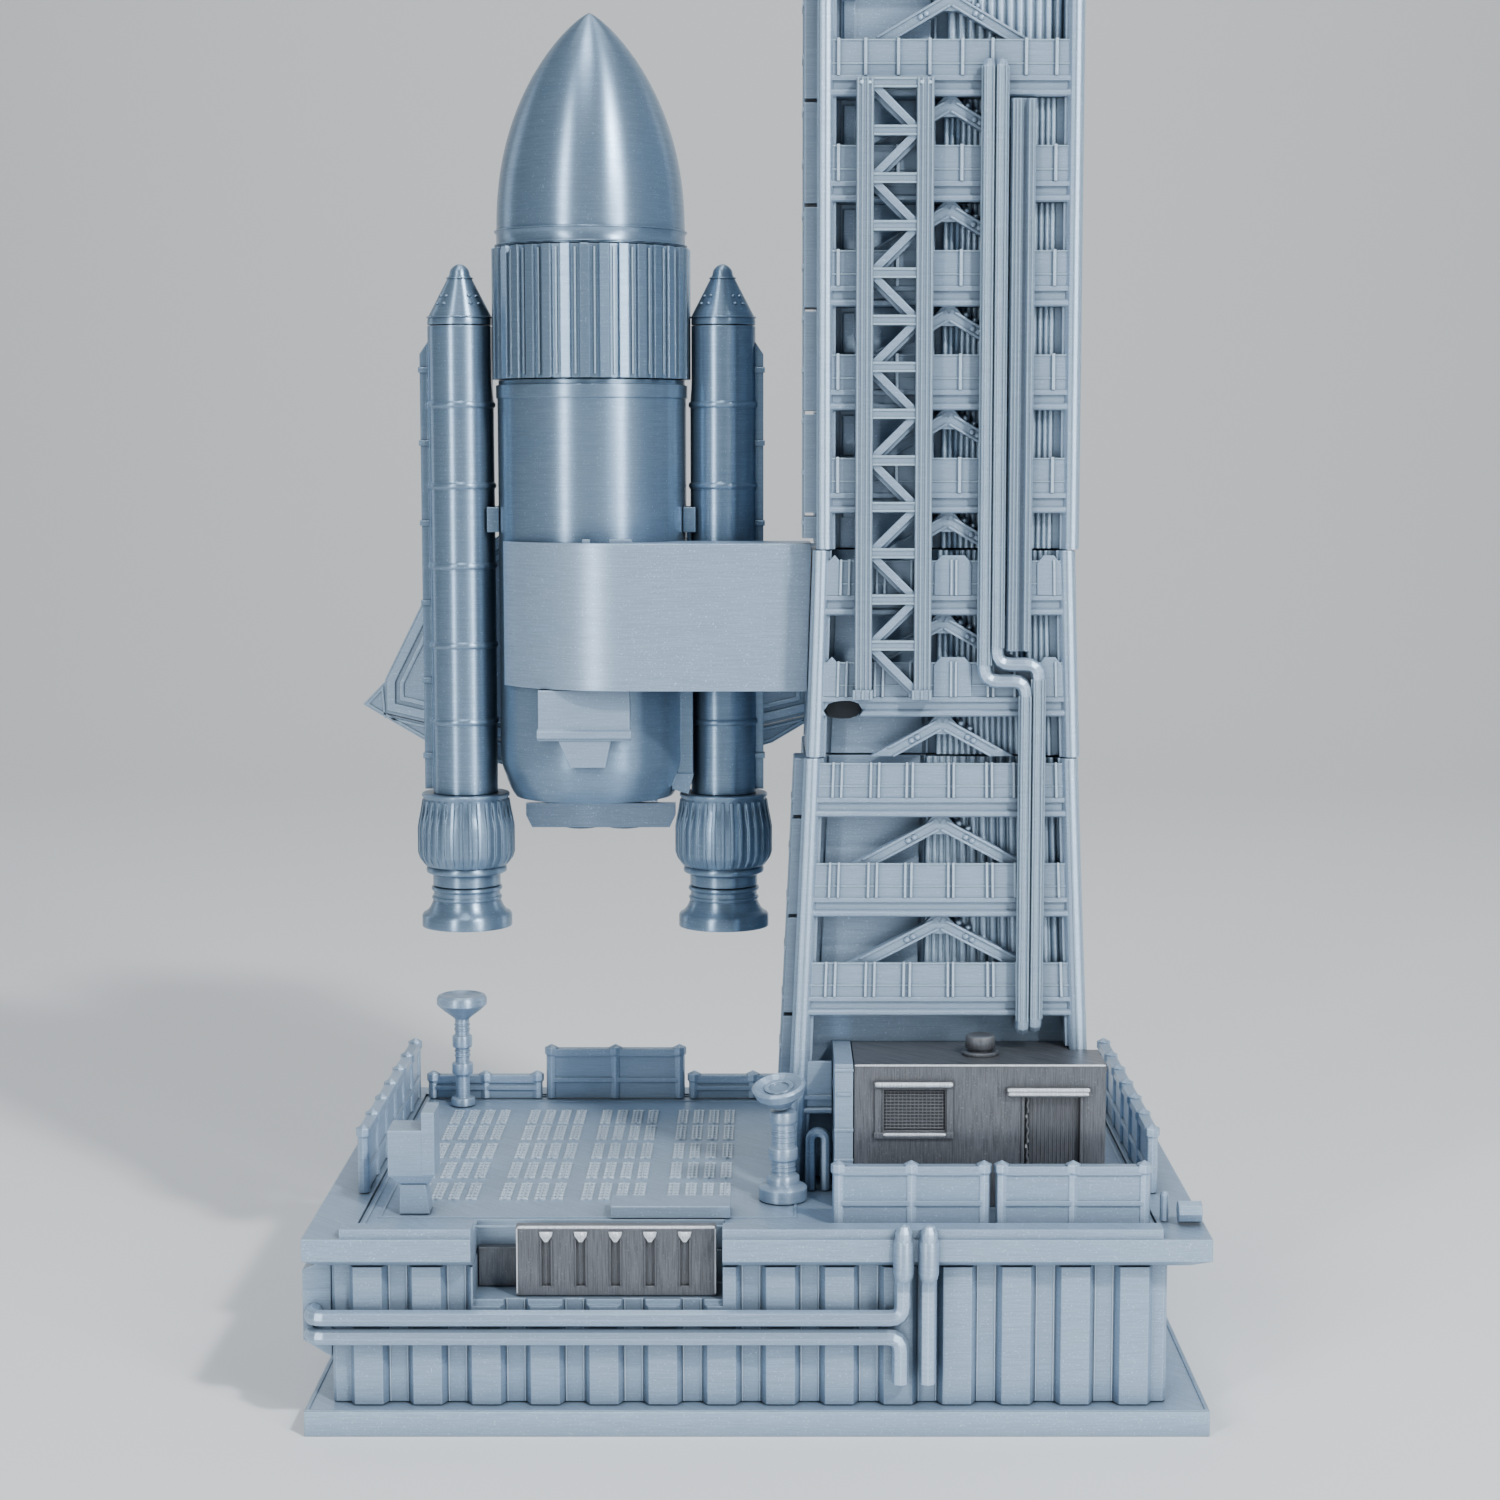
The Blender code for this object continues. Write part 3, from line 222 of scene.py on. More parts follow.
def inset(outline, distance):
    """Move every side of a closed outline inwards by a distance."""
    count = len(outline)
    area = sum(outline[i - 1][0] * outline[i][1] - outline[i][0] * outline[i - 1][1] for i in range(count))
    turn = 1 if area > 0 else -1
    points = []
    for i in range(count):
        p0, p1, p2 = (Vector(outline[k % count]) for k in (i - 1, i, i + 1))
        d0 = (p1 - p0).normalized()
        d1 = (p2 - p1).normalized()
        n0 = Vector((-d0.y, d0.x)) * turn
        n1 = Vector((-d1.y, d1.x)) * turn
        scale = distance / max(0.35, 1 + n0.dot(n1))
        points.append(tuple(p1 + (n0 + n1) * scale))
    return points


def half_width(z):
    """Half of the tower's width at a height: it widens towards the deck."""
    below = max(0.0, FLARE_TOP - z) / FLARE_DROP
    return TOWER_HALF + TOWER_FLARE * below ** FLARE_POWER


def flare(verts, middle):
    """Widen the points of a straight tower detail towards the deck, as the tower itself is."""
    for vert in verts:
        scale = half_width(vert.co.z / MM) / TOWER_HALF
        vert.co.x = (middle + (vert.co.x / MM - middle) * scale) * MM


def level_height(level):
    return LEVEL_BASE + LEVEL_PITCH * level


def piece(bm, name, mat, smooth=False):
    """Turn the mesh into a named piece that rides on the model."""
    bmesh.ops.recalc_face_normals(bm, faces=bm.faces)
    mesh = bpy.data.meshes.new(name)
    bm.to_mesh(mesh)
    bm.free()
    mesh.materials.append(mat)
    if smooth:
        mesh.shade_smooth()
        mesh.set_sharp_from_angle(angle=math.radians(40))
    obj = bpy.data.objects.new(name, mesh)
    bpy.context.scene.collection.objects.link(obj)
    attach(obj, "root")
    return obj


# Materials

def feed(tree, node, inputs):
    """Give a shader node its inputs, each as a socket or as a plain value."""
    for key, value in inputs.items():
        if isinstance(value, bpy.types.NodeSocket):
            tree.links.new(value, node.inputs[key])
        else:
            node.inputs[key].default_value = value
    return node


def noise(tree, coords, scale, detail):
    """Noise with its own steps per metre along each axis."""
    stretch = tree.nodes.new("ShaderNodeVectorMath")
    stretch.operation = "MULTIPLY"
    feed(tree, stretch, {0: coords, 1: scale})
    inputs = {"Vector": stretch.outputs[0], "Scale": 1.0, "Detail": detail, "Roughness": 0.6}
    return feed(tree, tree.nodes.new("ShaderNodeTexNoise"), inputs).outputs["Fac"]


def ramp(tree, value, low, high):
    """Spread the values between low and high over the whole range."""
    inputs = {"Value": value, "From Min": low, "From Max": high}
    return feed(tree, tree.nodes.new("ShaderNodeMapRange"), inputs).outputs["Result"]


def mix(tree, factor, first, second, kind="FLOAT", blend="MIX"):
    """Mix two values, or two colours where kind is RGBA."""
    node = tree.nodes.new("ShaderNodeMix")
    node.data_type = kind
    node.blend_type = blend
    return feed(tree, node, {"Factor": factor, "A": first, "B": second}).outputs["Result"]


# Noise steps per metre: the print's lines lie flat on the grey pieces and stand upright on the dark ones
HORIZONTAL = (150.0, 150.0, 3600.0)
UPRIGHT = (3300.0, 3300.0, 160.0)
INFILL = (90.0, 2100.0, 300.0)
MOTTLE = (30.0, 30.0, 110.0)
GRAIN = (3000.0, 3000.0, 3000.0)
EDGE_RADIUS = 0.0005
# Reach of the ambient occlusion that paints shade into creases and recesses
PAINTED_SHADE_REACH = 0.007
LINE_DEPTH = 0.00012
COOL = (0.93, 0.97, 1.0, 1.0)


def printed(name, colour, side_scale, roughness, metallic, relief, tint=COOL):
    """Printed plastic: fine lines along the layers, a soft mottle, glitter flakes painted as bright glints, painted
    highlights on the edges and painted shade in creases and recesses.
    """
    mat = bpy.data.materials.new(name)
    mat.use_nodes = True
    tree = mat.node_tree
    nodes = tree.nodes
    coords = nodes.new("ShaderNodeTexCoord").outputs["Object"]
    normal = nodes.new("ShaderNodeNewGeometry").outputs["Normal"]
    upright = side_scale == UPRIGHT

    def tone(gain):
        return tuple(min(1.0, c * gain) for c in colour) + (1.0,)

    up = feed(tree, nodes.new("ShaderNodeSeparateXYZ"), {0: normal})
    flat = nodes.new("ShaderNodeMath")
    flat.operation = "ABSOLUTE"
    feed(tree, flat, {0: up.outputs["Z"]})
    is_flat = ramp(tree, flat.outputs[0], 0.86, 0.96)

    lines = noise(tree, coords, side_scale, 2.0)
    turned = nodes.new("ShaderNodeVectorRotate")
    turned.rotation_type = "Z_AXIS"
    feed(tree, turned, {"Vector": coords, "Angle": math.radians(45)})
    fine = mix(tree, is_flat, lines, noise(tree, turned.outputs[0], INFILL, 2.0))
    broad = noise(tree, coords, MOTTLE, 3.0)
    grain = noise(tree, coords, GRAIN, 1.0)

    # The bevel's normal rounds the edges; where it turns away from the face, the edge is painted lighter: a painted
    # highlight
    rounded = nodes.new("ShaderNodeBevel")
    rounded.samples = 2
    feed(tree, rounded, {"Radius": EDGE_RADIUS})
    turn = nodes.new("ShaderNodeVectorMath")
    turn.operation = "DOT_PRODUCT"
    feed(tree, turn, {0: rounded.outputs["Normal"], 1: normal})
    flush = ramp(tree, turn.outputs["Value"], 0.80, 0.985)
    # Ambient occlusion darkens the colour in creases and recesses: painted shade
    open_air = nodes.new("ShaderNodeAmbientOcclusion")
    open_air.samples = 3
    feed(tree, open_air, {"Distance": PAINTED_SHADE_REACH})
    painted_crease_shade = ramp(tree, open_air.outputs["AO"], 0.10, 0.90)

    spread = 0.3 if upright else 0.1
    lined = mix(tree, ramp(tree, fine, 0.3, 0.7), tone(1.0 - spread), tone(1.0 + spread), "RGBA")
    tinted = mix(tree, ramp(tree, broad, 0.3, 0.75), lined, tint, "RGBA", "MULTIPLY")
    # Glitter flakes, painted as bright glints
    with_painted_glints = mix(tree, ramp(tree, grain, 0.66, 0.74), tinted, tone(1.75), "RGBA")
    # Painted highlight on the edges
    with_painted_edge_highlight = mix(tree, flush, tone(1.75), with_painted_glints, "RGBA")
    # Painted shade in creases and recesses
    with_painted_shade = mix(tree, painted_crease_shade, tone(0.30), with_painted_edge_highlight, "RGBA")
    across = nodes.new("ShaderNodeCombineXYZ")
    feed(tree, across, dict(enumerate((1.0, 0.04, 0.03) if upright else (0.04, 0.03, 1.0))))
    bump = nodes.new("ShaderNodeBump")
    feed(tree, bump, {"Strength": relief, "Distance": LINE_DEPTH, "Height": mix(tree, 0.22, fine, grain),
                      "Normal": rounded.outputs["Normal"]})
    feed(tree, nodes["Principled BSDF"], {
        "Base Color": with_painted_shade,
        "Roughness": mix(tree, fine, roughness + 0.07, roughness - 0.06),
        "Metallic": metallic,
        "Tangent": across.outputs[0],
        "Anisotropic": 0.8,
        "Normal": bump.outputs["Normal"],
    })
    return mat


GREY = printed("silver_grey_print", (0.33, 0.43, 0.55), HORIZONTAL, 0.40, 0.5, 0.22)
SILK = printed("silky_grey_print", (0.20, 0.285, 0.385), HORIZONTAL, 0.33, 0.70, 0.07)
# Lighter copy of the grey print for raised ribs, tubes, frames and the foot: painted light
LIT_GREY = printed("lit_grey_print_painted_light", (0.39, 0.51, 0.65), HORIZONTAL, 0.34, 0.5, 0.22)
# Brighter copy of the grey print for thin ribs, vents and corner beads: painted highlights and glints
PAINTED_GLINT = printed("grey_print_painted_highlight", (0.56, 0.74, 0.96), HORIZONTAL, 0.30, 0.5, 0.3, (0.95, 0.98, 1.0, 1.0))
DARK = printed("dark_bronze_print", (0.118, 0.124, 0.136), UPRIGHT, 0.38, 0.5, 0.5, (0.95, 0.96, 1.0, 1.0))
# Bright copy of the dark print for beads and tips: painted highlight
BEAD_HIGHLIGHT = printed("dark_print_painted_highlight", (0.62, 0.66, 0.71), UPRIGHT, 0.30, 0.5, 0.3, (0.95, 0.97, 1.0, 1.0))
# Near black, for the inside of the hole: painted shade
SHADE_FILL = printed("painted_shade_inside", (0.012, 0.015, 0.02), HORIZONTAL, 0.60, 0.0, 0.2, (0.9, 0.95, 1.0, 1.0))
DARK_NODES = ("slot_block", "cabin", "cabin_vent")
SILK_NODES = ("tank_nose", "tank_barrel", "tank_fluted_band")


def dress_nodes():
    for name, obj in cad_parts.items():
        if name in DARK_NODES:
            mat = DARK
        elif name in SILK_NODES or name.startswith("booster"):
            mat = SILK
        # The foot takes the lighter copy of the grey print: painted light
        elif name == "pad_foot":
            mat = LIT_GREY
        else:
            mat = GREY
        for slot in obj.material_slots:
            slot.material = mat


# Tower

def bay_range(level, low_end, high_end):
    """Low and high end of the open wall above a level, cut to the printed length that it is in."""
    z = level_height(level)
    return max(low_end + 0.1, z + 0.1), min(high_end - 0.1, z + LEVEL_PITCH - BEAM_HEIGHT)


def left_wall_start(name):
    """Where the tower's left wall comes clear of the arm, or of the cable trays."""
    return 5.0 if name == "middle" else -8.0


def band_ribs(name, middle, bands):
    """Thin upright ribs, a step and end beads on the railing bands, on all four sides."""
    steps = bmesh.new()
    ribs = bmesh.new()
    offsets = SINGLE_RIBS if name == "upper" else PAIRED_RIBS
    width = 0.34 if name == "upper" else 0.24
    for level in bands:
        z = level_height(level)
        top = z + BAND_HEIGHT
        beads = [(z - 1.3, z), (z - BEAM_HEIGHT, z - 3.3)]
        for offset in offsets:
            x = middle + offset
            for y0, y1 in ((BAND_FACE - 0.75, BAND_FACE + 0.1), (BAND_BACK - 0.1, BAND_BACK + 0.6)):
                add_box(ribs, x - width, x + width, y0, y1, z + 0.05, top + 0.25)
        for y0, y1 in ((BAND_FACE - 0.18, BAND_FACE + 0.1), (BAND_BACK - 0.1, BAND_BACK + 0.2)):
            for low, high in ((z + 2.5, z + 2.85), (top - 0.3, top + 0.05)):
                add_box(steps, middle - 28.6, middle + 28.6, y0, y1, low, high)
        for low, high in beads:
            add_box(steps, middle - 28.4, middle + 28.4, BAND_BACK - 0.1, BAND_BACK + 0.5, low, high)
        for side in (-1, 1):
            face = middle + side * (TOWER_HALF - 0.3)
            x0, x1 = sorted((face - side * 0.2, face + side * 0.25))
            first = left_wall_start(name) if side < 0 else -24.0
            y = first
            while y < 20.5:
                add_box(ribs, x0, x1, y - 0.25, y + 0.25, z + 0.05, top + 0.2)
                y += 3.6
            for low, high in beads + [(top - 0.3, top + 0.05)]:
                add_box(steps, x0, x1, first - 0.6, 20.6, low, high)
    flare(steps.verts, middle)
    flare(ribs.verts, middle)
    # The steps take the lighter copy of the grey print: painted light
    piece(steps, "tower_band_steps_" + name, LIT_GREY)
    # The ribs take the brighter copy of the grey print: painted highlights
    piece(ribs, "tower_band_ribs_" + name, PAINTED_GLINT)


def tube_offsets(name, level):
    """Sideways places of the upright tubes on the front wall, right of its middle."""
    if name == "upper" and level == 11:
        return [(0.6 + 2.2 * i, 0.95) for i in range(12)]
    if name == "lower":
        fine = [(-2.4 + 1.45 * i, 0.55) for i in range(5)]
        return fine + [(5.2 + 2.15 * i, 0.85) for i in range(10)]
    return [(-0.6 + 1.35 * i, 0.58) for i in range(19)]


def wall_tubes(name, middle, low_end, high_end, bays):
    """Upright tubes on the tower's four walls, behind the braces."""
    bm = bmesh.new()
    backing = CORE_FRONT - TUBE_STEP
    for level in bays:
        low, high = bay_range(level, low_end, high_end)
        if level == 1:
            low = CABIN_ROOF + 8.0
        if high - low < 1.0:
            continue
        stepped = name != "upper" or level < 11
        if level > 1:
            offsets = tube_offsets(name, level)
            add_box(bm, middle + offsets[0][0] - 0.3, middle + 26.0, backing, CORE_FRONT + 0.3, low, high)
            if stepped:
                add_box(bm, middle + 19.5, middle + 26.4, OUTER_TUBES, CORE_FRONT - 1.0, low, high)
            for offset, radius in offsets:
                y = OUTER_TUBES if stepped and offset > 19.6 else backing
                add_tube(bm, middle + offset, y, low, high, radius)
        for i in range(22):
            add_tube(bm, middle - 25.2 + 2.4 * i, CORE_BACK + 0.05, low, high, 0.8)
        for side in (-1, 1):
            for i in range(16):
                y = -17.0 + 2.4 * i
                if side > 0 or y >= left_wall_start(name):
                    add_tube(bm, middle + side * CORE_HALF, y, low, high, 0.75)
    flare(bm.verts, middle)
    # The tubes take the lighter copy of the grey print: painted light
    piece(bm, "tower_wall_tubes_" + name, LIT_GREY, smooth=True)


def wall_panels(name, middle, low_end, high_end, bays):
    """Raised panels and strips on the left of the front wall, and posts beside the corner tubes."""
    bm = bmesh.new()
    for level in bays:
        low, high = bay_range(level, low_end, high_end)
        if level == 1 or high - low < 1.0:
            continue
        strips = [(-27.2, -25.6, 1.7, low, high), (-24.6, -4.2, 0.7, low, high), (-3.4, -2.9, 0.9, low, high),
                  (26.9, 27.5, 1.8, low, high)]
        if name == "upper":
            strips.append((-24.0, -21.4, 1.3, low + 8.6, high - 1.2))
        for left, right, rise, z0, z1 in strips:
            add_box(bm, middle + left, middle + right, CORE_FRONT - rise, CORE_FRONT + 0.3, z0, z1)
    flare(bm.verts, middle)
    piece(bm, "tower_wall_panels_" + name, GREY)


def print_fault():
    """Near-black block inside the ragged hole in the tower's middle length: painted shade."""
    bm = bmesh.new()
    outline = []
    for i, radius in enumerate((4.3, 3.9, 3.2, 2.8, 3.0, 3.8, 4.4, 4.0, 2.9, 2.6, 2.9, 3.7)):
        u, v = around(0.0, 0.0, radius, math.pi * i / 6)
        outline.append((19.9 + u, 157.2 + 0.8 * v))
    add_prism(bm, outline, CORE_FRONT - 5.4, CORE_FRONT - 0.4, "Y")
    piece(bm, "tower_print_fault_shade", SHADE_FILL)


def brace_trim(name, middle, low_end, braced):
    """Raised edges and bolt heads on the front braces, and plain braces on the back."""
    bm = bmesh.new()
    for level in braced:
        z = level_height(level)
        tip = Vector((middle, z + BRACE_TIP))
        for side in (-1, 1):
            foot = Vector((middle + side * BRACE_SPREAD, z + BRACE_FOOT))
            along = (tip - foot).normalized()
            across = Vector((-along.y, along.x))
            start_z = max(z + BAND_HEIGHT - 1.0, low_end + 0.3)
            start = foot + along * max(0.0, (start_z - foot.y) / along.y + 1.4)
            for shift in (-1.1, 1.1):
                edge = bar(start + across * shift, tip - along + across * shift, 0.5)
                add_prism(bm, edge, BRACE_FACE - 0.35, BRACE_FACE + 0.1, "Y")
            for share in (0.74, 0.79):
                spot = foot.lerp(tip, share)
                add_dome(bm, spot.x, BRACE_FACE, spot.y, 0.75, 0.6)
            start = foot.lerp(tip, max(0.3, (low_end + 1.6 - foot.y) / (tip.y - foot.y)))
            add_prism(bm, bar(start, tip, 2.2), CORE_BACK - 0.2, BAND_BACK - 0.3, "Y")
        for x, drop, radius, rise in ((4.1, 0.2, 1.0, 1.8), (6.1, 1.4, 0.8, 1.5)):
            add_dome(bm, middle + x, BRACE_FACE + 2.2, z + BRACE_TIP - drop, radius, rise)
        gusset = [(middle + u, z + v) for u, v in ((-4.6, 14.6), (4.6, 14.6), (1.2, 19.0), (-1.2, 19.0))]
        add_prism(bm, gusset, CORE_BACK - 0.2, BAND_BACK - 0.5, "Y")
    flare(bm.verts, middle)
    piece(bm, "tower_brace_trim_" + name, GREY)


def side_braces(name, middle, low_end, bays):
    """Slanted braces on the tower's right and left walls."""
    bm = bmesh.new()
    for level in bays:
        z = level_height(level)
        low = max(z + BAND_HEIGHT - 1.0, low_end + 1.5)
        high = z + LEVEL_PITCH - BEAM_HEIGHT - 0.2
        if high - low < 3:
            continue
        for side in (-1, 1):
            face = middle + side * CORE_HALF
            x0, x1 = sorted((face - side * 0.2, face + side * 1.6))
            ends = (-22.0, 19.0) if side > 0 else (left_wall_start(name), 19.5)
            centre = sum(ends) / 2
            for end in ends:
                outline = bar(Vector((end, low)), Vector((centre, high)), 2.0)
                add_prism(bm, [(u, min(max(v, low - 0.6), high + 0.4)) for u, v in outline], x0, x1, "X")
    flare(bm.verts, middle)
    piece(bm, "tower_side_braces_" + name, GREY)


def corner_lines(name, middle, low_end, high_end):
    """Fine raised lines that run up the four corner tubes."""
    bm = bmesh.new()
    radius = 1.9
    reach = radius - 0.06
    half = 0.16
    heights = [low_end + 0.1]
    for level in range(1, 13):
        for z in (level_height(level) - BEAM_HEIGHT, level_height(level) + BAND_HEIGHT):
            if low_end + 1 < z < high_end - 1:
                heights.append(z)
    heights.append(high_end - 0.1)
    for sx in (-1, 1):
        for sy, edge in ((-1, TOWER_FRONT + radius), (1, TOWER_BACK - radius)):
            for degrees in (0, 38, 76):
                angle = math.radians(degrees)
                x = middle + sx * (TOWER_HALF - radius + reach * math.sin(angle))
                y = edge + sy * reach * math.cos(angle)
                add_tall_box(bm, x - half, x + half, y - half, y + half, heights)
    flare(bm.verts, middle)
    # The lines take the lighter copy of the grey print: painted light
    piece(bm, "tower_corner_lines_" + name, LIT_GREY)


def tray_lines():
    """Upright ridges and clips on the cable trays at the tower's left."""
    bm = bmesh.new()
    for middle, first, last, reach in ((LOWER_X, 50.0, 145.6, 2.0), (UPPER_X, 197.0, 325.0, 2.9)):
        known = len(bm.verts)
        face = middle - TOWER_HALF - reach
        heights = [first + (last - first) * i / 12 for i in range(13)]
        for y in (-22.0, -19.0, -16.0, -13.0, -12.0):
            add_tall_box(bm, face - 0.3, face + 0.2, y - 0.35, y + 0.35, heights)
        z = first + 3
        while z < last - 3:
            add_box(bm, face - 0.45, face + 0.2, -22.8, -11.2, z, z + 1.0)
            z += LEVEL_PITCH / 2
        flare(list(bm.verts)[known:], middle)
    piece(bm, "tower_tray_lines", GREY)


def truss_trim():
    """Four fine ridges on each rail of the lift truss, its foot pads, and lips on its rungs."""
    bm = bmesh.new()
    front = -31.0
    for x in (22.4, 36.0):
        for offset in (0.35, 1.35, 2.5, 3.5):
            add_box(bm, x + offset - 0.19, x + offset + 0.19, front - 0.3, front + 0.1, 162.5, 300.75)
        for offset in (-0.2, 1.8, 3.7):
            add_box(bm, x + offset - 0.25, x + offset + 0.25, front - 0.75, front - 0.3, 160.3, 162.3)
        for offset in (1.0, 2.9):
            add_dome(bm, x + offset, front, 299.6, 0.5, 0.5)
    for i in range(13):
        z = 298.5 - i * 10.58
        for low, high in ((1.75, 2.3), (0.0, 0.45)):
            add_box(bm, 26.0, 36.3, front + 0.05, front + 0.4, z + low, z + high)
    # The trim takes the lighter copy of the grey print: painted light
    piece(bm, "lift_truss_trim", LIT_GREY)


def duct_ridges():
    """Fine ridges along the two ducts and the pair of cables."""
    bm = bmesh.new()
    reach = 1.62
    for x, low, high in ((52.3, 168.0, 303.4), (55.1, 172.0, 303.4), (62.0, 84.6, 160.9), (64.8, 85.2, 164.8)):
        for degrees in (-72, -36, 0, 36, 72):
            angle = math.radians(degrees)
            rx = x + reach * math.sin(angle)
            ry = -29.3 - reach * math.cos(angle)
            add_box(bm, rx - 0.19, rx + 0.19, ry - 0.22, ry + 0.2, low, high)
    for x in (57.9, 58.7, 59.5, 61.5, 62.4):
        add_box(bm, x - 0.16, x + 0.16, -29.85, -29.5, 171.6, 296.0)
    # The ridges take the lighter copy of the grey print: painted light
    piece(bm, "duct_ridges", LIT_GREY)


def roof_details():
    """Ribs on the parapet, and panels, hatch and vent inside it."""
    bm = bmesh.new()
    x0, x1 = UPPER_X - TOWER_HALF - 2.0, UPPER_X + TOWER_HALF + 2.0
    y0, y1 = TOWER_FRONT - 0.4, TOWER_BACK + 0.8
    low, high = 327.0, 332.9
    x = x0 + 2.0
    while x < x1 - 1:
        for near, far in ((y0 - 0.4, y0 + 0.1), (y1 - 0.1, y1 + 0.4)):
            add_box(bm, x - 0.35, x + 0.35, near, far, low, high)
        x += 6.02
    y = y0 + 2.0
    while y < y1 - 1:
        for near, far in ((x0 - 0.4, x0 + 0.1), (x1 - 0.1, x1 + 0.4)):
            add_box(bm, near, far, y - 0.35, y + 0.35, low, high)
        y += 6.15
    for sides in ((x0 - 0.5, x1 + 0.5, y0 - 0.5, y0 + 0.2), (x0 - 0.5, x1 + 0.5, y1 - 0.2, y1 + 0.5),
                  (x0 - 0.5, x0 + 0.2, y0, y1), (x1 - 0.2, x1 + 0.5, y0, y1)):
        add_box(bm, *sides, 325.6, 326.9)
        add_box(bm, *sides, 332.2, 333.1)
    floor = 327.1
    for i in range(6):
        for k in range(4):
            px = x0 + 5.0 + i * 9.6
            py = y0 + 4.6 + k * 11.6
            panel = [(px, py), (px + 7.6, py), (px + 7.6, py + 9.4), (px, py + 9.4)]
            add_ring_frame(bm, panel, 0.0, 0.8, floor - 0.1, floor + 0.35)
    add_box(bm, 30.0, 41.0, -9.0, 3.0, floor, floor + 1.6)
    add_box(bm, 31.0, 40.0, -8.0, 2.0, floor + 1.5, floor + 2.2)
    for i in range(5):
        add_box(bm, 31.6 + 1.7 * i, 32.3 + 1.7 * i, -7.4, 1.4, floor + 2.1, floor + 2.6)
    add_lathe(bm, [(0, 4.6), (2.6, 4.5), (3.1, 4.0), (3.1, 3.2), (2.2, 2.7), (2.2, 0.0)], 56.0, 4.0, 18, floor)
    add_lathe(bm, [(0, 3.4), (1.6, 3.3), (1.9, 3.0), (1.9, 2.4), (1.3, 2.0), (1.3, 0.0)], 62.5, 9.0, 14, floor)
    piece(bm, "tower_roof_details", GREY)


def tower_details():
    braced = {"lower": (2, 3), "middle": (4, 5), "upper": (6, 7, 8, 9, 10, 11)}
    for name, middle, low_end, high_end, bands, bays in SECTIONS:
        band_ribs(name, middle, bands)
        wall_tubes(name, middle, low_end, high_end, bays)
        wall_panels(name, middle, low_end, high_end, bays)
        brace_trim(name, middle, low_end, braced[name])
        side_braces(name, middle, low_end, bays)
        corner_lines(name, middle, low_end, high_end)
    print_fault()
    tray_lines()
    truss_trim()
    duct_ridges()
    roof_details()


# Cabin and slot insert

def beaded(bm, x0, x1, y, z, radius, pitch=0.55):
    """Rounded bar along X with the fine beads of its print."""
    count = max(2, round((x1 - x0) / pitch * 2))
    points = []
    radii = []
    for i in range(count + 1):
        points.append((x0 + (x1 - x0) * (i / count), y, z))
        end = min(i, count - i)
        swell = 0.55 if end == 0 else (0.85 if end == 1 else (1.0 if i % 2 else 0.88))
        radii.append(radius * swell)
    add_path(bm, points, radii, 10)


def cabin_details():
    """Louvres and beads of the cabin's window and door, its seams, and the lines on its side."""
    bm = bmesh.new()
    y = CABIN_FRONT + 0.9
    for i in range(12):
        z = 62.5 + i * 0.78
        slat = [(y + 0.05, z), (y - 0.55, z + 0.1), (y - 0.45, z + 0.32), (y + 0.05, z + 0.5)]
        add_prism(bm, slat, 29.1, 42.9, "X")
    for i in range(15):
        x = 29.6 + i * 0.92
        add_box(bm, x - 0.12, x + 0.12, y - 0.35, y + 0.05, 62.4, 71.6)
    piece(bm, "cabin_window_louvres", DARK)

    bm = bmesh.new()
    for x0, x1, proud, z, radius in ((26.9, 44.7, 0.85, 73.1, 0.72), (28.8, 43.2, 0.55, 61.4, 0.5),
                                     (57.2, 76.0, 1.15, 71.85, 0.6), (57.4, 75.8, 1.25, 70.95, 0.5),
                                     (22.3, 79.7, 0.02, 77.38, 0.28)):
        beaded(bm, x0, x1, CABIN_FRONT - proud, z, radius)
    # The beads take a bright copy of the dark print: painted highlight
    piece(bm, "cabin_beads", BEAD_HIGHLIGHT, smooth=True)

    bm = bmesh.new()
    back = CABIN_FRONT + 1.2
    low = DECK_TOP + 0.4
    for i in range(14):
        x = 61.6 + i * 0.92
        add_box(bm, x - 0.16, x + 0.16, back - 0.16, back + 0.1, low, 69.6)
    for x in (60.5, 74.0):
        add_box(bm, x, x + 0.7, CABIN_FRONT - 0.3, back, low, 70.3)
    points = []
    radii = []
    for i in range(40):
        x = 61.9 + 0.22 * math.sin(i * 1.7) + 0.12 * math.sin(i * 0.61)
        points.append((x, CABIN_FRONT + 0.25 + 0.1 * math.sin(i * 2.3), 69.8 - i * 0.64))
        radii.append(0.3 + 0.12 * math.sin(i * 2.9))
    add_path(bm, points, radii, 6)
    piece(bm, "cabin_door_lines", DARK, smooth=True)

    bm = bmesh.new()
    side = 80.0
    for i in range(7):
        y = -42.5 + i * 2.2
        add_box(bm, side - 0.3, side + 0.02, y - 0.2, y + 0.2, DECK_TOP + 0.5, 76.8)
    for y0, y1, z0, z1 in ((-44.3, -28.6, 76.0, 77.0), (-40.0, -32.0, 60.0, 61.0), (-40.0, -32.0, 68.5, 69.5),
                           (-40.3, -39.4, 60.0, 69.5), (-32.6, -31.7, 60.0, 69.5)):
        add_box(bm, side - 0.3, side + 0.1, y0, y1, z0, z1)
    add_lathe(bm, [(3.9, 0.9), (4.3, 0.6), (4.3, 0.0), (2.9, 0.0)], 51.8, -33.0, 24, CABIN_ROOF + 0.05)
    piece(bm, "cabin_side_and_vent_lines", DARK)


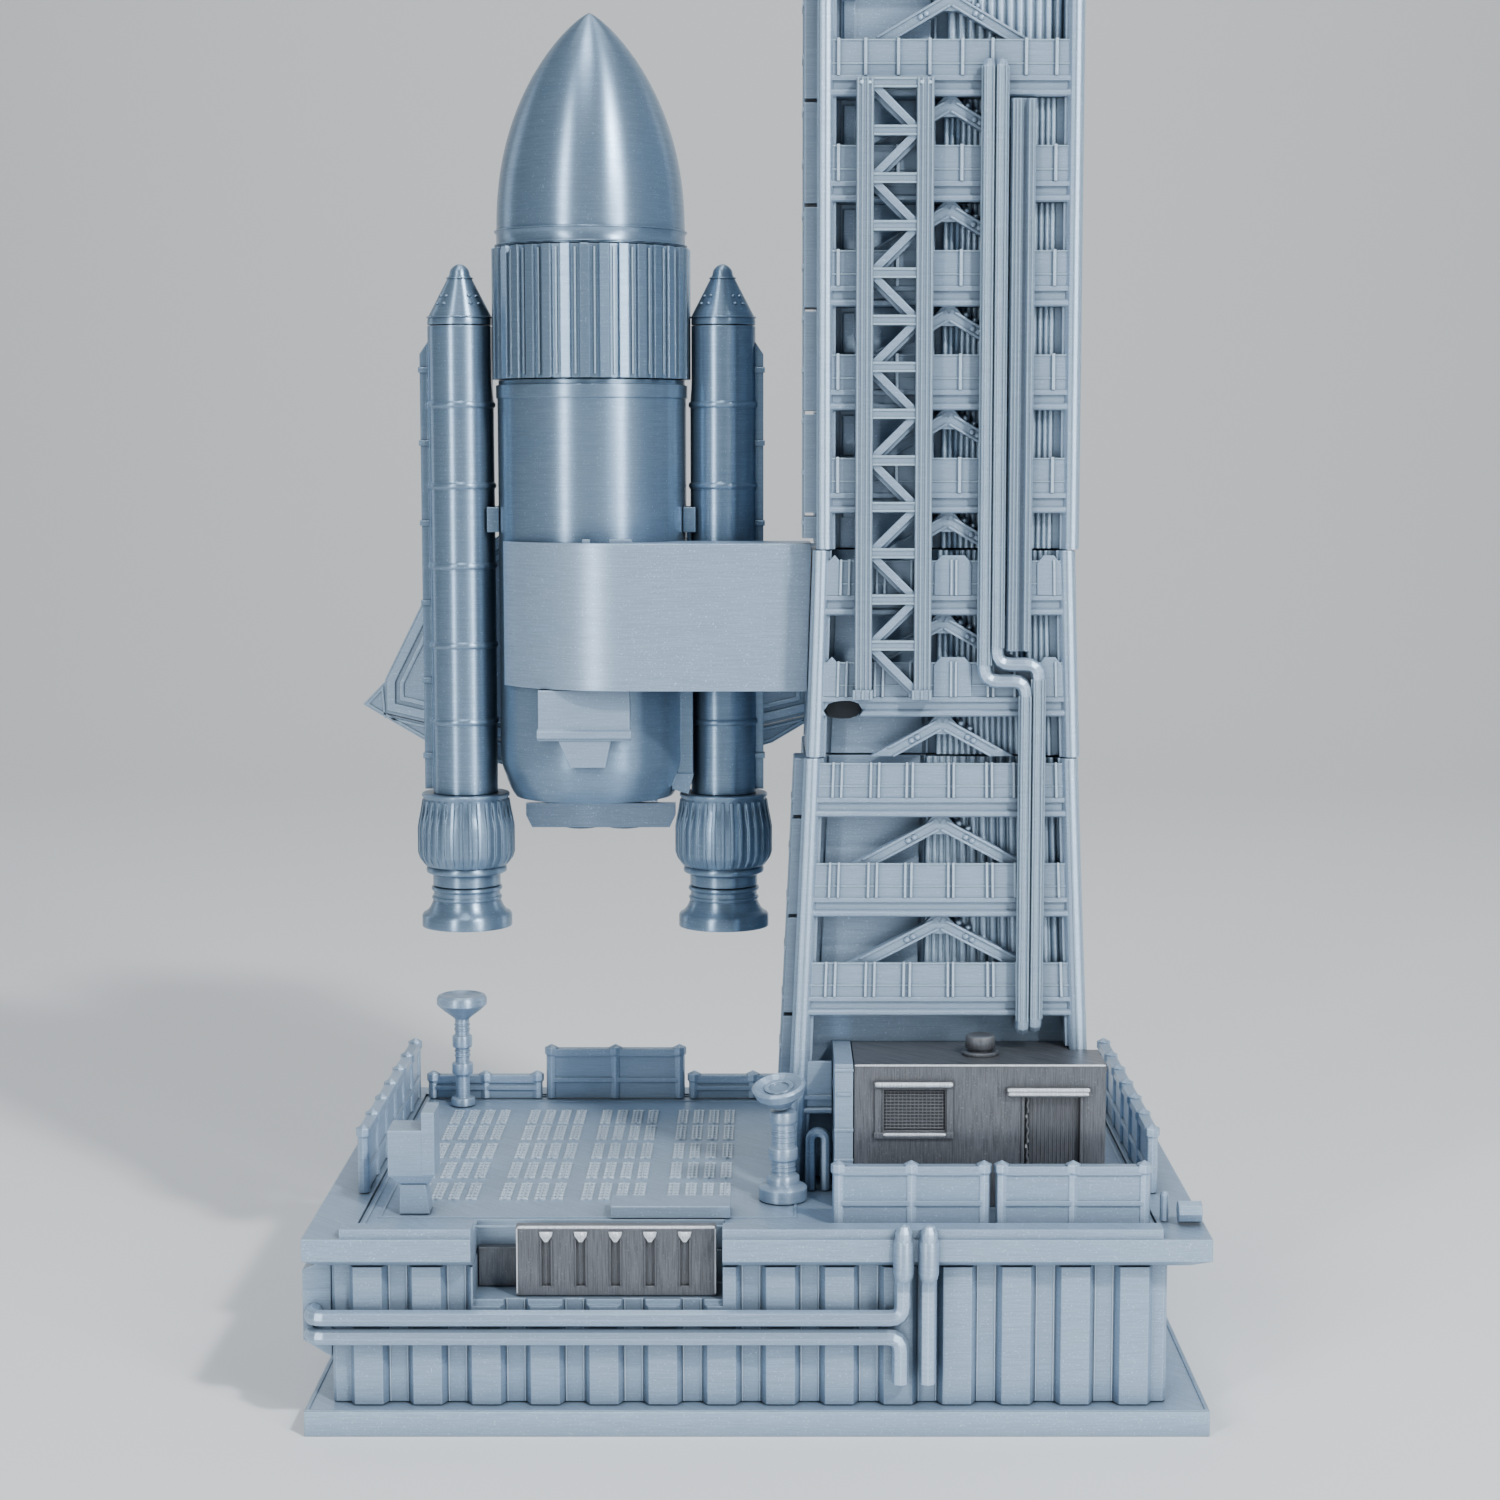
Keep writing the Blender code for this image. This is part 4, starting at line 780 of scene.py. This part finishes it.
def slot_details():
    """Tips over the grooves and a beaded top edge on the slot's dark panel, in a bright copy of the dark print:
    painted highlights.
    """
    bm = bmesh.new()
    for x in GROOVES:
        half = [(1.5, 44.5), (1.3, 43.6), (0.35, 42.2)]
        tip = [(x - u, z) for u, z in half] + [(x + u, z) for u, z in half[::-1]]
        add_prism(bm, tip, SLOT_FRONT - 0.4, SLOT_FRONT + 1.0, "Y")
        add_dome(bm, x, SLOT_FRONT - 0.3, 43.6, 0.8, 0.35)
    beaded(bm, -53.5, -9.3, SLOT_FRONT + 0.2, 45.4, 0.42, 0.8)
    for x in (-53.5, -9.3):
        add_box(bm, x - 0.16, x + 0.16, SLOT_FRONT - 0.18, SLOT_FRONT + 0.1, 30.4, 45.2)
    piece(bm, "slot_insert_trim", BEAD_HIGHLIGHT, smooth=True)

    bm = bmesh.new()
    for middle in GROOVES:
        for x in (middle - 1.2, middle + 1.2):
            add_box(bm, x - 0.18, x + 0.18, SLOT_FRONT - 0.25, SLOT_FRONT + 0.1, 32.0, 42.6)
    piece(bm, "slot_groove_edges", DARK)


# Pad

def deck_grate():
    """Blocks of raised vents on the deck, each a spine between two rails with short rungs."""
    bm = bmesh.new()
    rungs = 6
    rung = ((-0.6, -0.05), (-0.28, 0.42), (0.28, 0.42), (0.6, -0.05))
    foot = DECK_TOP - 0.1
    for y0, y1 in GRATE_ROWS:
        for x in [x_first + i * 4.03 for x_first in GRATE_GROUPS for i in range(4)]:
            add_box(bm, x - 0.22, x + 0.22, y0, y1, foot, DECK_TOP + 0.5)
            for dx in (-1.0, 1.0):
                add_box(bm, x + dx - 0.16, x + dx + 0.16, y0 + 0.4, y1 - 0.4, foot, DECK_TOP + 0.3)
            for k in range(rungs):
                y = y0 + 0.8 + k * (y1 - y0 - 1.6) / (rungs - 1)
                add_prism(bm, [(y + u, DECK_TOP + v) for u, v in rung], x - 1.35, x + 1.35, "X")
    # The vents take the brighter copy of the grey print: painted glints
    piece(bm, "deck_grate", PAINTED_GLINT)


def deck_lines():
    """Shallow joint lines round the deck and round the grate."""
    bm = bmesh.new()
    for x0, x1, y0, y1, width, rise in ((-88.9, 89.0, -60.8, 63.9, 0.7, 0.28),
                                        (-86.0, 9.0, -53.5, 58.4, 0.6, 0.22)):
        corners = [(x0, y0), (x1, y0), (x1, y1), (x0, y1)]
        add_ring_frame(bm, corners, 0.0, width, DECK_TOP - 0.1, DECK_TOP + rise)
    piece(bm, "deck_joint_lines", GREY)


def pad_trim():
    """Edge line of the foot, and the thick sleeves at the tops of the two risers."""
    bm = bmesh.new()
    foot = [(-100.4, -72.5), (100.4, -72.5), (100.4, 72.5), (-100.4, 72.5)]
    add_ring_frame(bm, foot, 0.2, 0.8, 5.5, 5.85)
    piece(bm, "foot_edges", GREY)

    bm = bmesh.new()
    sleeve = [(0, 46.5), (1.2, 46.2), (1.9, 45.5), (2.3, 44.2), (2.3, 37.4), (2.0, 36.1), (1.6, 35.6), (0, 35.6)]
    for x in (32.3, 37.8):
        add_lathe(bm, sleeve, x, -73.0, 24)
    piece(bm, "riser_sleeves", GREY, smooth=True)


def wall_corner_highlights():
    """Fine beads in the inner corners of the wall's recesses, in the brighter copy of the grey print: painted
    highlights.
    """
    bm = bmesh.new()
    low, high, under_slot = 6.0, 37.2, 29.4
    profile = [(-0.24, -0.05), (0.24, -0.05), (0.12, 0.26), (-0.12, 0.26)]
    for shift in (-1.95, 1.95):
        for i in range(13):
            x = -86.5 + WALL_PITCH * (i + 0.5) + shift
            top = under_slot if -64.0 < x < -7.0 else high
            add_prism(bm, [(x + u, -WALL_BACK - v) for u, v in profile], low, top)
            add_prism(bm, [(x + u, WALL_BACK + v) for u, v in profile], low, high)
        for i in range(8):
            y = WALL_PITCH * (i - 3.5) + shift
            add_prism(bm, [(WALL_RIGHT + v, y + u) for u, v in profile], low, high)
            add_prism(bm, [(WALL_LEFT - v, y + u) for u, v in profile], low, high)
    # Painted highlights in the recesses' inner corners
    piece(bm, "wall_corner_highlights", PAINTED_GLINT)


def fitting_details():
    """Rings on the two masts and lines on the column beside the cabin."""
    bm = bmesh.new()
    for z in (57.5, 58.7, 64.6, 65.8):
        add_ring(bm, MAST_X, MAST_Y, z, 1.95, 0.2, 16)
    for z in (51.2, 52.3, 58.2, 59.4, 60.6):
        add_ring(bm, DISH_X, DISH_Y, z, 2.7, 0.25, 18)
    for k in range(6):
        x, y = around(DISH_X, DISH_Y, 4.7, math.radians(60 * k + 15))
        add_dome(bm, x, y, 47.3, 0.5, 0.4, 8, upward=True)
    piece(bm, "mast_rings", GREY, smooth=True)

    bm = bmesh.new()
    add_box(bm, 18.2, 21.4, -44.95, -44.6, 70.4, 71.0)
    for z in (48.0, 55.0, 62.0, 76.0):
        add_box(bm, 17.6, 22.0, -44.9, -44.6, z, z + 0.7)
    for z in (70.0, 58.0):
        add_box(bm, 17.5, 17.8, -43.6, -28.6, z, z + 0.7)
    piece(bm, "cabin_column_lines", GREY)


# Rocket

def wing_frames():
    """Stepped frames on both faces of the wings, and the lines of the elevons."""
    bm = bmesh.new()
    root = 14.8
    plan = [(root, 142.2), (root, 212.0), (24.4, 196.2), (43.0, 181.6), (54.2, 159.3), (54.2, 151.4)]
    flap = [(root, 135.0), (root, 140.8), (54.4, 150.0), (55.0, 157.8), (59.6, 153.0), (43.6, 143.6)]
    faces = ((-0.6, 0.1, -0.3, 0.1), (3.3, 4.0, 3.3, 3.7))
    for side in (-1, 1):
        wing = [(ROCKET_X + side * u, v) for u, v in plan]
        elevon = [(ROCKET_X + side * u, v) for u, v in flap]
        for face in faces:
            near, far, inner_near, inner_far = (ORBITER_Y + step for step in face)
            add_ring_frame(bm, wing, 0.2, 2.0, near, far, "Y")
            add_ring_frame(bm, wing, 3.4, 1.0, inner_near, inner_far, "Y")
            add_ring_frame(bm, elevon, 0.1, 0.5, inner_near, inner_far, "Y")
    # The frames take the lighter copy of the grey print: painted light
    piece(bm, "wing_frames", LIT_GREY)


def hull_outline(grow):
    """Upper half of the fuselage's section, grown outwards."""
    points = []
    for i in range(13):
        angle = math.pi * i / 12
        points.append((ROCKET_X + (14.5 + grow) * math.cos(angle),
                       ORBITER_Y + 12.0 + (9.0 + grow) * math.sin(angle)))
    return points


def orbiter_details():
    """Door joints and spine of the fuselage, rings on the pods and lines on the fin."""
    bm = bmesh.new()
    outer = hull_outline(0.3)
    inner = hull_outline(-0.2)
    for i in range(9):
        z = 138.0 + i * 9.6
        for k in range(12):
            add_prism(bm, [outer[k], outer[k + 1], inner[k + 1], inner[k]], z, z + 0.55)
    top = ORBITER_Y + 21.0
    add_box(bm, ROCKET_X - 0.45, ROCKET_X + 0.45, top - 0.2, top + 0.4, 162.0, 214.8)
    for side in (-1, 1):
        x = ROCKET_X + side * 14.5
        x0, x1 = sorted((x - side * 0.1, x + side * 0.4))
        for y0, y1, high in ((9.6, 10.4, 214.8), (4.0, 4.6, 220.0)):
            add_box(bm, x0, x1, ORBITER_Y + y0, ORBITER_Y + y1, 138.0, high)
    for i in range(5):
        z = 143.5 + i * 14.0
        for x in (ROCKET_X - 5.2, ROCKET_X + 5.2):
            add_box(bm, x - 3.0, x + 3.0, ORBITER_Y + 19.9, ORBITER_Y + 20.9, z, z + 0.5)
    piece(bm, "orbiter_door_joints", GREY)

    bm = bmesh.new()
    rings = ((126.5, 127.4, 4.75), (134.0, 134.7, 4.95), (142.0, 142.7, 4.95), (150.0, 150.6, 4.05))
    for side in (-1, 1):
        pod = Vector((ROCKET_X + side * 6.6, top + 2.4))
        for low, high, radius in rings:
            arc = [Vector(around(*pod, radius, math.radians(25 + 130 * k / 8))) for k in range(9)]
            for near, far in zip(arc, arc[1:]):
                add_prism(bm, [near, far, pod.lerp(far, 0.85), pod.lerp(near, 0.85)], low, high)
    fin = ((17.6, 124.2), (20.9, 124.8), (20.9, 135.6), (13.0, 145.0), (12.2, 144.2))
    fin_line = [(top + u, v) for u, v in fin]
    for near, far in ((ROCKET_X - 1.95, ROCKET_X - 1.5), (ROCKET_X + 1.5, ROCKET_X + 1.95)):
        add_ring_frame(bm, fin_line, 0.0, 0.5, near, far, "X")
        add_box(bm, near, far, top + 2.0, top + 2.6, 133.0, 156.0)
    piece(bm, "orbiter_pod_and_fin_lines", GREY)


def booster_details():
    """Clips over the cable strips, seams on the cones and small raised pads near the tips."""
    bm = bmesh.new()
    pad = [(0, 0.8), (0.42, 0.66), (0.6, 0.4), (0.42, 0.12), (0, 0)]
    for side in (-1, 1):
        x = ROCKET_X + side * BOOSTER_OFFSET
        edge = x + side * (BOOSTER_RADIUS + 1.9)
        x0, x1 = sorted((edge - side * 2.3, edge + side * 0.35))
        for z in (236.0, 218.4, 199.0, 179.6, 160.6, 142.0):
            add_box(bm, x0, x1, ROCKET_Y - 1.6, ROCKET_Y + 1.6, z, z + 1.3)
        for z, radius in ((249.0, 8.0), (258.4, 3.1)):
            seam = [(radius, 0.4), (radius + 0.2, 0.3), (radius + 0.2, 0.1), (radius, 0.0)]
            add_lathe(bm, seam, x, ROCKET_Y, 28, z)
        for degrees in (215, 238, 300, 322):
            for z in (252.4, 254.2):
                px, py = around(x, ROCKET_Y, 2.5 + (259.4 - z) * 0.52, math.radians(degrees))
                add_lathe(bm, pad, px, py, 8, z - 0.4)
    piece(bm, "booster_fittings", SILK, smooth=True)


def tank_details():
    """Thin joint rings on the tank and small bosses on the arm's top."""
    bm = bmesh.new()
    for z in (265.9, 269.2):
        add_ring(bm, ROCKET_X, ROCKET_Y, z, 23.05, 0.22, 72)
    piece(bm, "tank_joint_rings", SILK, smooth=True)

    bm = bmesh.new()
    for x0, x1 in ((-41.2, -39.4), (-34.8, -29.6)):
        add_box(bm, x0, x1, -15.6, -14.3, ARM_TOP - 0.1, ARM_TOP + 0.9)
    piece(bm, "arm_top_bosses", GREY)


def arm_piece():
    """Smooth version of the arm, with its curved front and its pocket for the tank."""
    bm = bmesh.new()
    steps = 56
    centre_y = ARM_FRONT + ARM_CURVE
    turn = math.acos((centre_y - ARM_TIP_Y) / ARM_CURVE)
    outline = [(0.0, ARM_BACK), (0.0, ARM_FRONT)]
    for i in range(steps + 1):
        angle = turn * i / steps
        outline.append((ARM_CURVE_X - ARM_CURVE * math.sin(angle), centre_y - ARM_CURVE * math.cos(angle)))
    pocket = TANK_RADIUS + 0.3
    first = -math.pi - math.asin((ARM_TIP_Y - ROCKET_Y) / pocket)
    last = math.asin((ARM_BACK - ROCKET_Y) / pocket)
    for i in range(steps + 1):
        angle = first + (last - first) * i / steps
        outline.append(around(ROCKET_X, ROCKET_Y, pocket, angle))
    add_prism(bm, outline, ARM_BOTTOM, ARM_TOP)
    for vert in bm.verts:
        if vert.co.x > -0.01 * MM:
            vert.co.x = (MIDDLE_X - half_width(vert.co.z / MM) - 0.3) * MM
    obj = piece(bm, "support_arm_smooth", GREY, smooth=True)
    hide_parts("support_arm")


def turned_piece(node, profile, x, y, sides=96, mat=SILK, extra=None):
    """Smooth turned piece that stands for a CAD node of the same shape; extra adds what isn't turned."""
    bm = bmesh.new()
    add_lathe(bm, profile, x, y, sides)
    if extra:
        extra(bm)
    obj = piece(bm, node + "_turned", mat, smooth=True)
    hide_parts(node)


def tank_feed(bm):
    """Feed box and duct under the tank's right side."""
    add_box(bm, -19.6, -15.9, 3.5, 6.4, 138.8, 160.3)
    add_prism(bm, [(-21.0, 139.0), (-21.0, 135.2), (-17.0, 134.0), (-15.7, 139.0)], 3.2, 6.7, "Y")


def tank_pieces():
    """The tank's pointed nose and its barrel."""
    tip, base, radius = 321.3, 269.6, 22.7
    profile = [(0, tip)]
    steps = 60
    for i in range(1, steps + 1):
        share = 1 - (i / steps) ** 1.5
        profile.append((radius * (1 - share ** 2.2) ** 0.8, base + (tip - base) * share))
    profile += [(23.0, base), (23.0, base - 0.6), (22.75, base - 0.9), (22.75, base - 3.0), (23.0, base - 3.3),
                (23.0, base - 3.9)]
    turned_piece("tank_nose", profile, ROCKET_X, ROCKET_Y, 128)

    top = 234.0
    profile = [(22.6, top), (22.6, top - 1.0), (23.2, top - 1.2), (23.2, top - 4.2), (TANK_RADIUS, top - 4.4),
               (TANK_RADIUS, 142.0), (22.5, 140.2), (21.9, 138.5), (21.4, 137.0), (20.8, 135.5), (20.1, 134.1),
               (19.4, 133.0)]
    turned_piece("tank_barrel", profile, ROCKET_X, ROCKET_Y, 128, extra=tank_feed)


def flute_ridges():
    """Thin upright ridge in each groove of the fluted band."""
    bm = bmesh.new()
    centre = Vector((ROCKET_X, ROCKET_Y))
    for i in range(32):
        along = Vector(around(0.0, 0.0, 1.0, 2 * math.pi * (i + 0.5) / 32))
        across = Vector((-along.y, along.x)) * 0.2
        foot = centre + along * 22.9
        crest = centre + along * 23.45
        add_prism(bm, [foot - across, crest - across, crest + across, foot + across], 235.2, 264.6)
    # The ridges take the lighter copy of the grey print: painted light
    piece(bm, "tank_flute_ridges", LIT_GREY)


def clear_of_flutes(bm):
    """Push a booster's points out of the space of the fluted band."""
    for vert in bm.verts:
        away = Vector((vert.co.x / MM - ROCKET_X, vert.co.y / MM - ROCKET_Y))
        if vert.co.z > 233 * MM and away.length < 24.35:
            away = away.normalized() * 24.35
            vert.co.x = (ROCKET_X + away.x) * MM
            vert.co.y = (ROCKET_Y + away.y) * MM


def strip_and_lugs(bm, side, x):
    """Cable strip on a booster's outer side, and its two lugs to the tank."""
    clear_of_flutes(bm)
    edge = x + side * (BOOSTER_RADIUS - 0.8)
    far = x + side * (BOOSTER_RADIUS + 1.9)
    strip = [(edge, 134.4), (far, 134.4), (far, 240.4), (edge, 244.4)]
    add_prism(bm, strip, ROCKET_Y - 1.2, ROCKET_Y + 1.2, "Y")
    x0, x1 = sorted((ROCKET_X + side * 22.3, ROCKET_X + side * 25.2))
    for y0, y1 in ((-6.3, -3.1), (3.1, 6.3)):
        add_box(bm, x0, x1, ROCKET_Y + y0, ROCKET_Y + y1, 197.6, 203.6)


def skirt_ribs(bm, x):
    """Thin upright ribs that follow the outline of a booster's skirt."""
    count = 32
    outer = [(10.75, 131.8), (11.2, 129.0), (11.65, 126.8), (11.95, 125.0), (11.95, 118.8), (11.5, 117.4),
             (10.4, 115.9)]
    outline = outer + [(out - 1.0, z) for out, z in outer[::-1]]
    centre = Vector((x, ROCKET_Y))
    for i in range(count):
        along = Vector(around(0.0, 0.0, 1.0, 2 * math.pi * i / count))
        across = Vector((-along.y, along.x))
        loops = []
        for shift in (-0.36, 0.36):
            spots = [(*(centre + along * out + across * shift), z) for out, z in outline]
            loops.append([bm.verts.new(Vector(spot) * MM) for spot in spots])
        near, far = loops
        for k in range(len(outer) - 1):
            for loop in loops:
                bm.faces.new((loop[k], loop[k + 1], loop[-2 - k], loop[-1 - k]))
        for k in range(len(outline)):
            j = (k + 1) % len(outline)
            bm.faces.new((near[k], near[j], far[j], far[k]))


def booster_pieces():
    """Nose, body, skirt and nozzle of both boosters."""
    joint = 247.4
    r = BOOSTER_RADIUS
    nose = [(0, 262.0), (0.7, 261.85), (1.2, 261.6), (1.8, 261.1), (2.2, 260.6), (2.4, 260.0), (2.5, 259.4),
            (7.6, 249.6), (r, 248.4), (r, joint)]
    body = [(r, joint - 0.3), (r, 240.0), (r, 234.0)]
    for z in (228.2, 208.7, 189.3, 170.0, 151.3):
        body += [(r, z + 0.8), (r + 0.3, z + 0.55), (r + 0.45, z), (r + 0.3, z - 0.55), (r, z - 0.8)]
    body.append((r, 133.6))
    skirt = [(8.3, 133.4), (10.6, 133.4), (10.8, 133.2), (10.8, 132.7), (10.4, 132.2), (10.4, 129.2), (10.8, 127.8),
             (11.2, 126.6), (11.4, 125.8), (11.5, 125.0), (11.5, 118.6), (11.2, 117.6), (10.2, 115.6), (9.4, 115.3),
             (9.8, 115.0), (9.95, 114.4), (9.8, 113.8), (8.3, 113.1), (8.3, 110.6)]
    bell = [(8.2, 110.3), (8.6, 110.1), (8.75, 109.65), (8.6, 109.3), (8.2, 109.0), (8.2, 107.9), (8.55, 107.7),
            (8.65, 107.35), (8.5, 107.0), (8.3, 106.8), (8.7, 105.8), (9.2, 104.8), (9.9, 104.0), (10.8, 103.5),
            (11.1, 102.9), (11.1, 100.3), (10.0, 100.3), (8.8, 103.0), (7.5, 105.5), (0, 106.5)]
    for side, name in ((-1, "booster_left"), (1, "booster_right")):
        x = ROCKET_X + side * BOOSTER_OFFSET
        turned_piece(name + "_nose", nose, x, ROCKET_Y, extra=clear_of_flutes)
        turned_piece(name + "_body", body, x, ROCKET_Y, extra=lambda bm: strip_and_lugs(bm, side, x))
        turned_piece(name + "_skirt", skirt, x, ROCKET_Y, extra=lambda bm: skirt_ribs(bm, x))
        turned_piece(name + "_nozzle", bell, x, ROCKET_Y)


def deck_pieces():
    """The left mast with its funnel, the dish's post and the cabin's vent."""
    foot = 44.5
    funnel = [(0, 73.6), (4.8, 73.8), (5.4, 74.2), (6.2, 73.9), (6.6, 73.2), (6.6, 71.6), (5.0, 70.1), (3.6, 69.0),
              (2.4, 68.1), (1.9, 67.6), (1.9, 63.4), (2.5, 63.1), (2.6, 62.8), (2.6, 60.4), (2.5, 60.1), (1.9, 59.8),
              (1.9, 56.0), (2.7, 55.7), (2.8, 55.4), (2.8, 53.2), (2.6, 52.8), (1.8, 52.4), (1.8, 46.6), (3.0, 46.4),
              (3.2, 46.0), (3.2, foot)]
    turned_piece("mast_left", funnel, MAST_X, MAST_Y, 64, GREY)
    post = [(0, 65.4), (2.7, 65.4), (3.1, 65.1), (3.2, 64.6), (3.2, 63.0), (3.1, 62.6), (2.7, 62.2), (2.7, 57.0),
            (3.3, 56.6), (3.4, 56.2), (3.4, 54.4), (3.3, 54.0), (2.7, 53.6), (2.7, 50.6), (3.5, 50.2), (3.8, 49.8),
            (3.8, 48.2), (5.2, 47.7), (5.6, 47.3), (5.6, foot)]
    turned_piece("dish_mast", post, DISH_X, DISH_Y, 64, GREY)
    vent = [(0, 82.0), (2.4, 82.2), (2.8, 82.2), (3.3, 82.0), (3.5, 81.6), (3.5, 79.4), (3.3, 79.0), (2.8, 78.8),
            (2.8, 77.8)]
    turned_piece("cabin_vent", vent, 51.8, -33.0, 48, DARK)


dress_nodes()
tank_pieces()
flute_ridges()
booster_pieces()
deck_pieces()
tower_details()
cabin_details()
slot_details()
deck_grate()
deck_lines()
pad_trim()
wall_corner_highlights()
fitting_details()
wing_frames()
orbiter_details()
booster_details()
tank_details()
arm_piece()


# Floor, light and camera

def pale_backdrop():
    """Floor that curves up into a plain wall behind the model."""
    half = 4.0
    bend_start = 1.1
    bend = 0.9
    wall_top = 3.2
    line = [(-3.0, -0.0001), (bend_start, -0.0001)]
    for i in range(1, 17):
        angle = math.pi / 2 * i / 16
        line.append((bend_start + bend * math.sin(angle), bend - bend * math.cos(angle)))
    line.append((bend_start + bend, wall_top))
    bm = bmesh.new()
    rows = [[bm.verts.new((x, y, z)) for x in (-half, half)] for y, z in line]
    for near, far in zip(rows, rows[1:]):
        bm.faces.new((near[0], near[1], far[1], far[0]))
    mesh = bpy.data.meshes.new("backdrop")
    bm.to_mesh(mesh)
    bm.free()
    mesh.shade_smooth()
    backdrop = bpy.data.objects.new("backdrop", mesh)
    bpy.context.scene.collection.objects.link(backdrop)
    mat = bpy.data.materials.new("pale_backdrop")
    mat.use_nodes = True
    shader = mat.node_tree.nodes["Principled BSDF"]
    shader.inputs["Base Color"].default_value = (0.76, 0.77, 0.78, 1.0)
    shader.inputs["Roughness"].default_value = 0.75
    mesh.materials.append(mat)


def area_light(name, place, target, width, height, watts, colour):
    data = bpy.data.lights.new(name, "AREA")
    data.shape = "RECTANGLE"
    data.size = width
    data.size_y = height
    data.energy = watts
    data.color = colour
    obj = bpy.data.objects.new(name, data)
    bpy.context.scene.collection.objects.link(obj)
    obj.location = place
    obj.rotation_euler = (Vector(target) - Vector(place)).to_track_quat("-Z", "Y").to_euler()


def strip_light(name, azimuth, distance, width, height, watts, colour):
    """Tall soft light that stands at an azimuth from the front, positive to the right."""
    turn = math.radians(azimuth)
    middle = height / 2 + 0.04
    place = (math.sin(turn) * distance, -math.cos(turn) * distance, middle)
    area_light(name, place, (0.0, 0.0, middle - 0.12), width, height, watts, colour)


def light_and_camera():
    world = bpy.data.worlds.new("studio")
    bpy.context.scene.world = world
    world.use_nodes = True
    background = world.node_tree.nodes["Background"]
    background.inputs["Color"].default_value = (0.74, 0.83, 0.93, 1.0)
    background.inputs["Strength"].default_value = 0.17
    white = (0.94, 0.97, 1.0)
    cool = (0.78, 0.89, 1.0)
    strip_light("strip_right", 38.0, 1.05, 0.09, 1.1, 8.5, white)
    strip_light("strip_left", -32.0, 1.05, 0.09, 1.1, 8.0, white)
    area_light("key_right", (0.63, -0.92, 1.05), (0.0, 0.0, 0.12), 0.09, 0.09, 17.0, white)
    strip_light("edge_left", -118.0, 1.2, 0.3, 0.9, 1.2, cool)
    strip_light("edge_right", 118.0, 1.2, 0.3, 0.9, 1.8, cool)
    area_light("top_light", (-0.10, -0.15, 1.25), (0.0, 0.0, 0.1), 0.25, 0.25, 3.5, white)
    area_light("backdrop_light", (0.0, 0.75, 1.9), (0.0, 2.0, 0.6), 1.2, 1.0, 14.0, (1.0, 1.0, 1.0))

    data = bpy.data.cameras.new("camera")
    data.sensor_width = 36.0
    data.lens = 66.0
    data.shift_x = -0.014
    data.clip_start = 0.01
    data.clip_end = 20.0
    camera = bpy.data.objects.new("camera", data)
    bpy.context.scene.collection.objects.link(camera)
    camera.location = (0.0031, -0.662, 0.2183)
    camera.rotation_euler = (math.pi / 2 - math.atan(304 / 2750), 0.0, 0.0)
    bpy.context.scene.camera = camera


pale_backdrop()
light_and_camera()
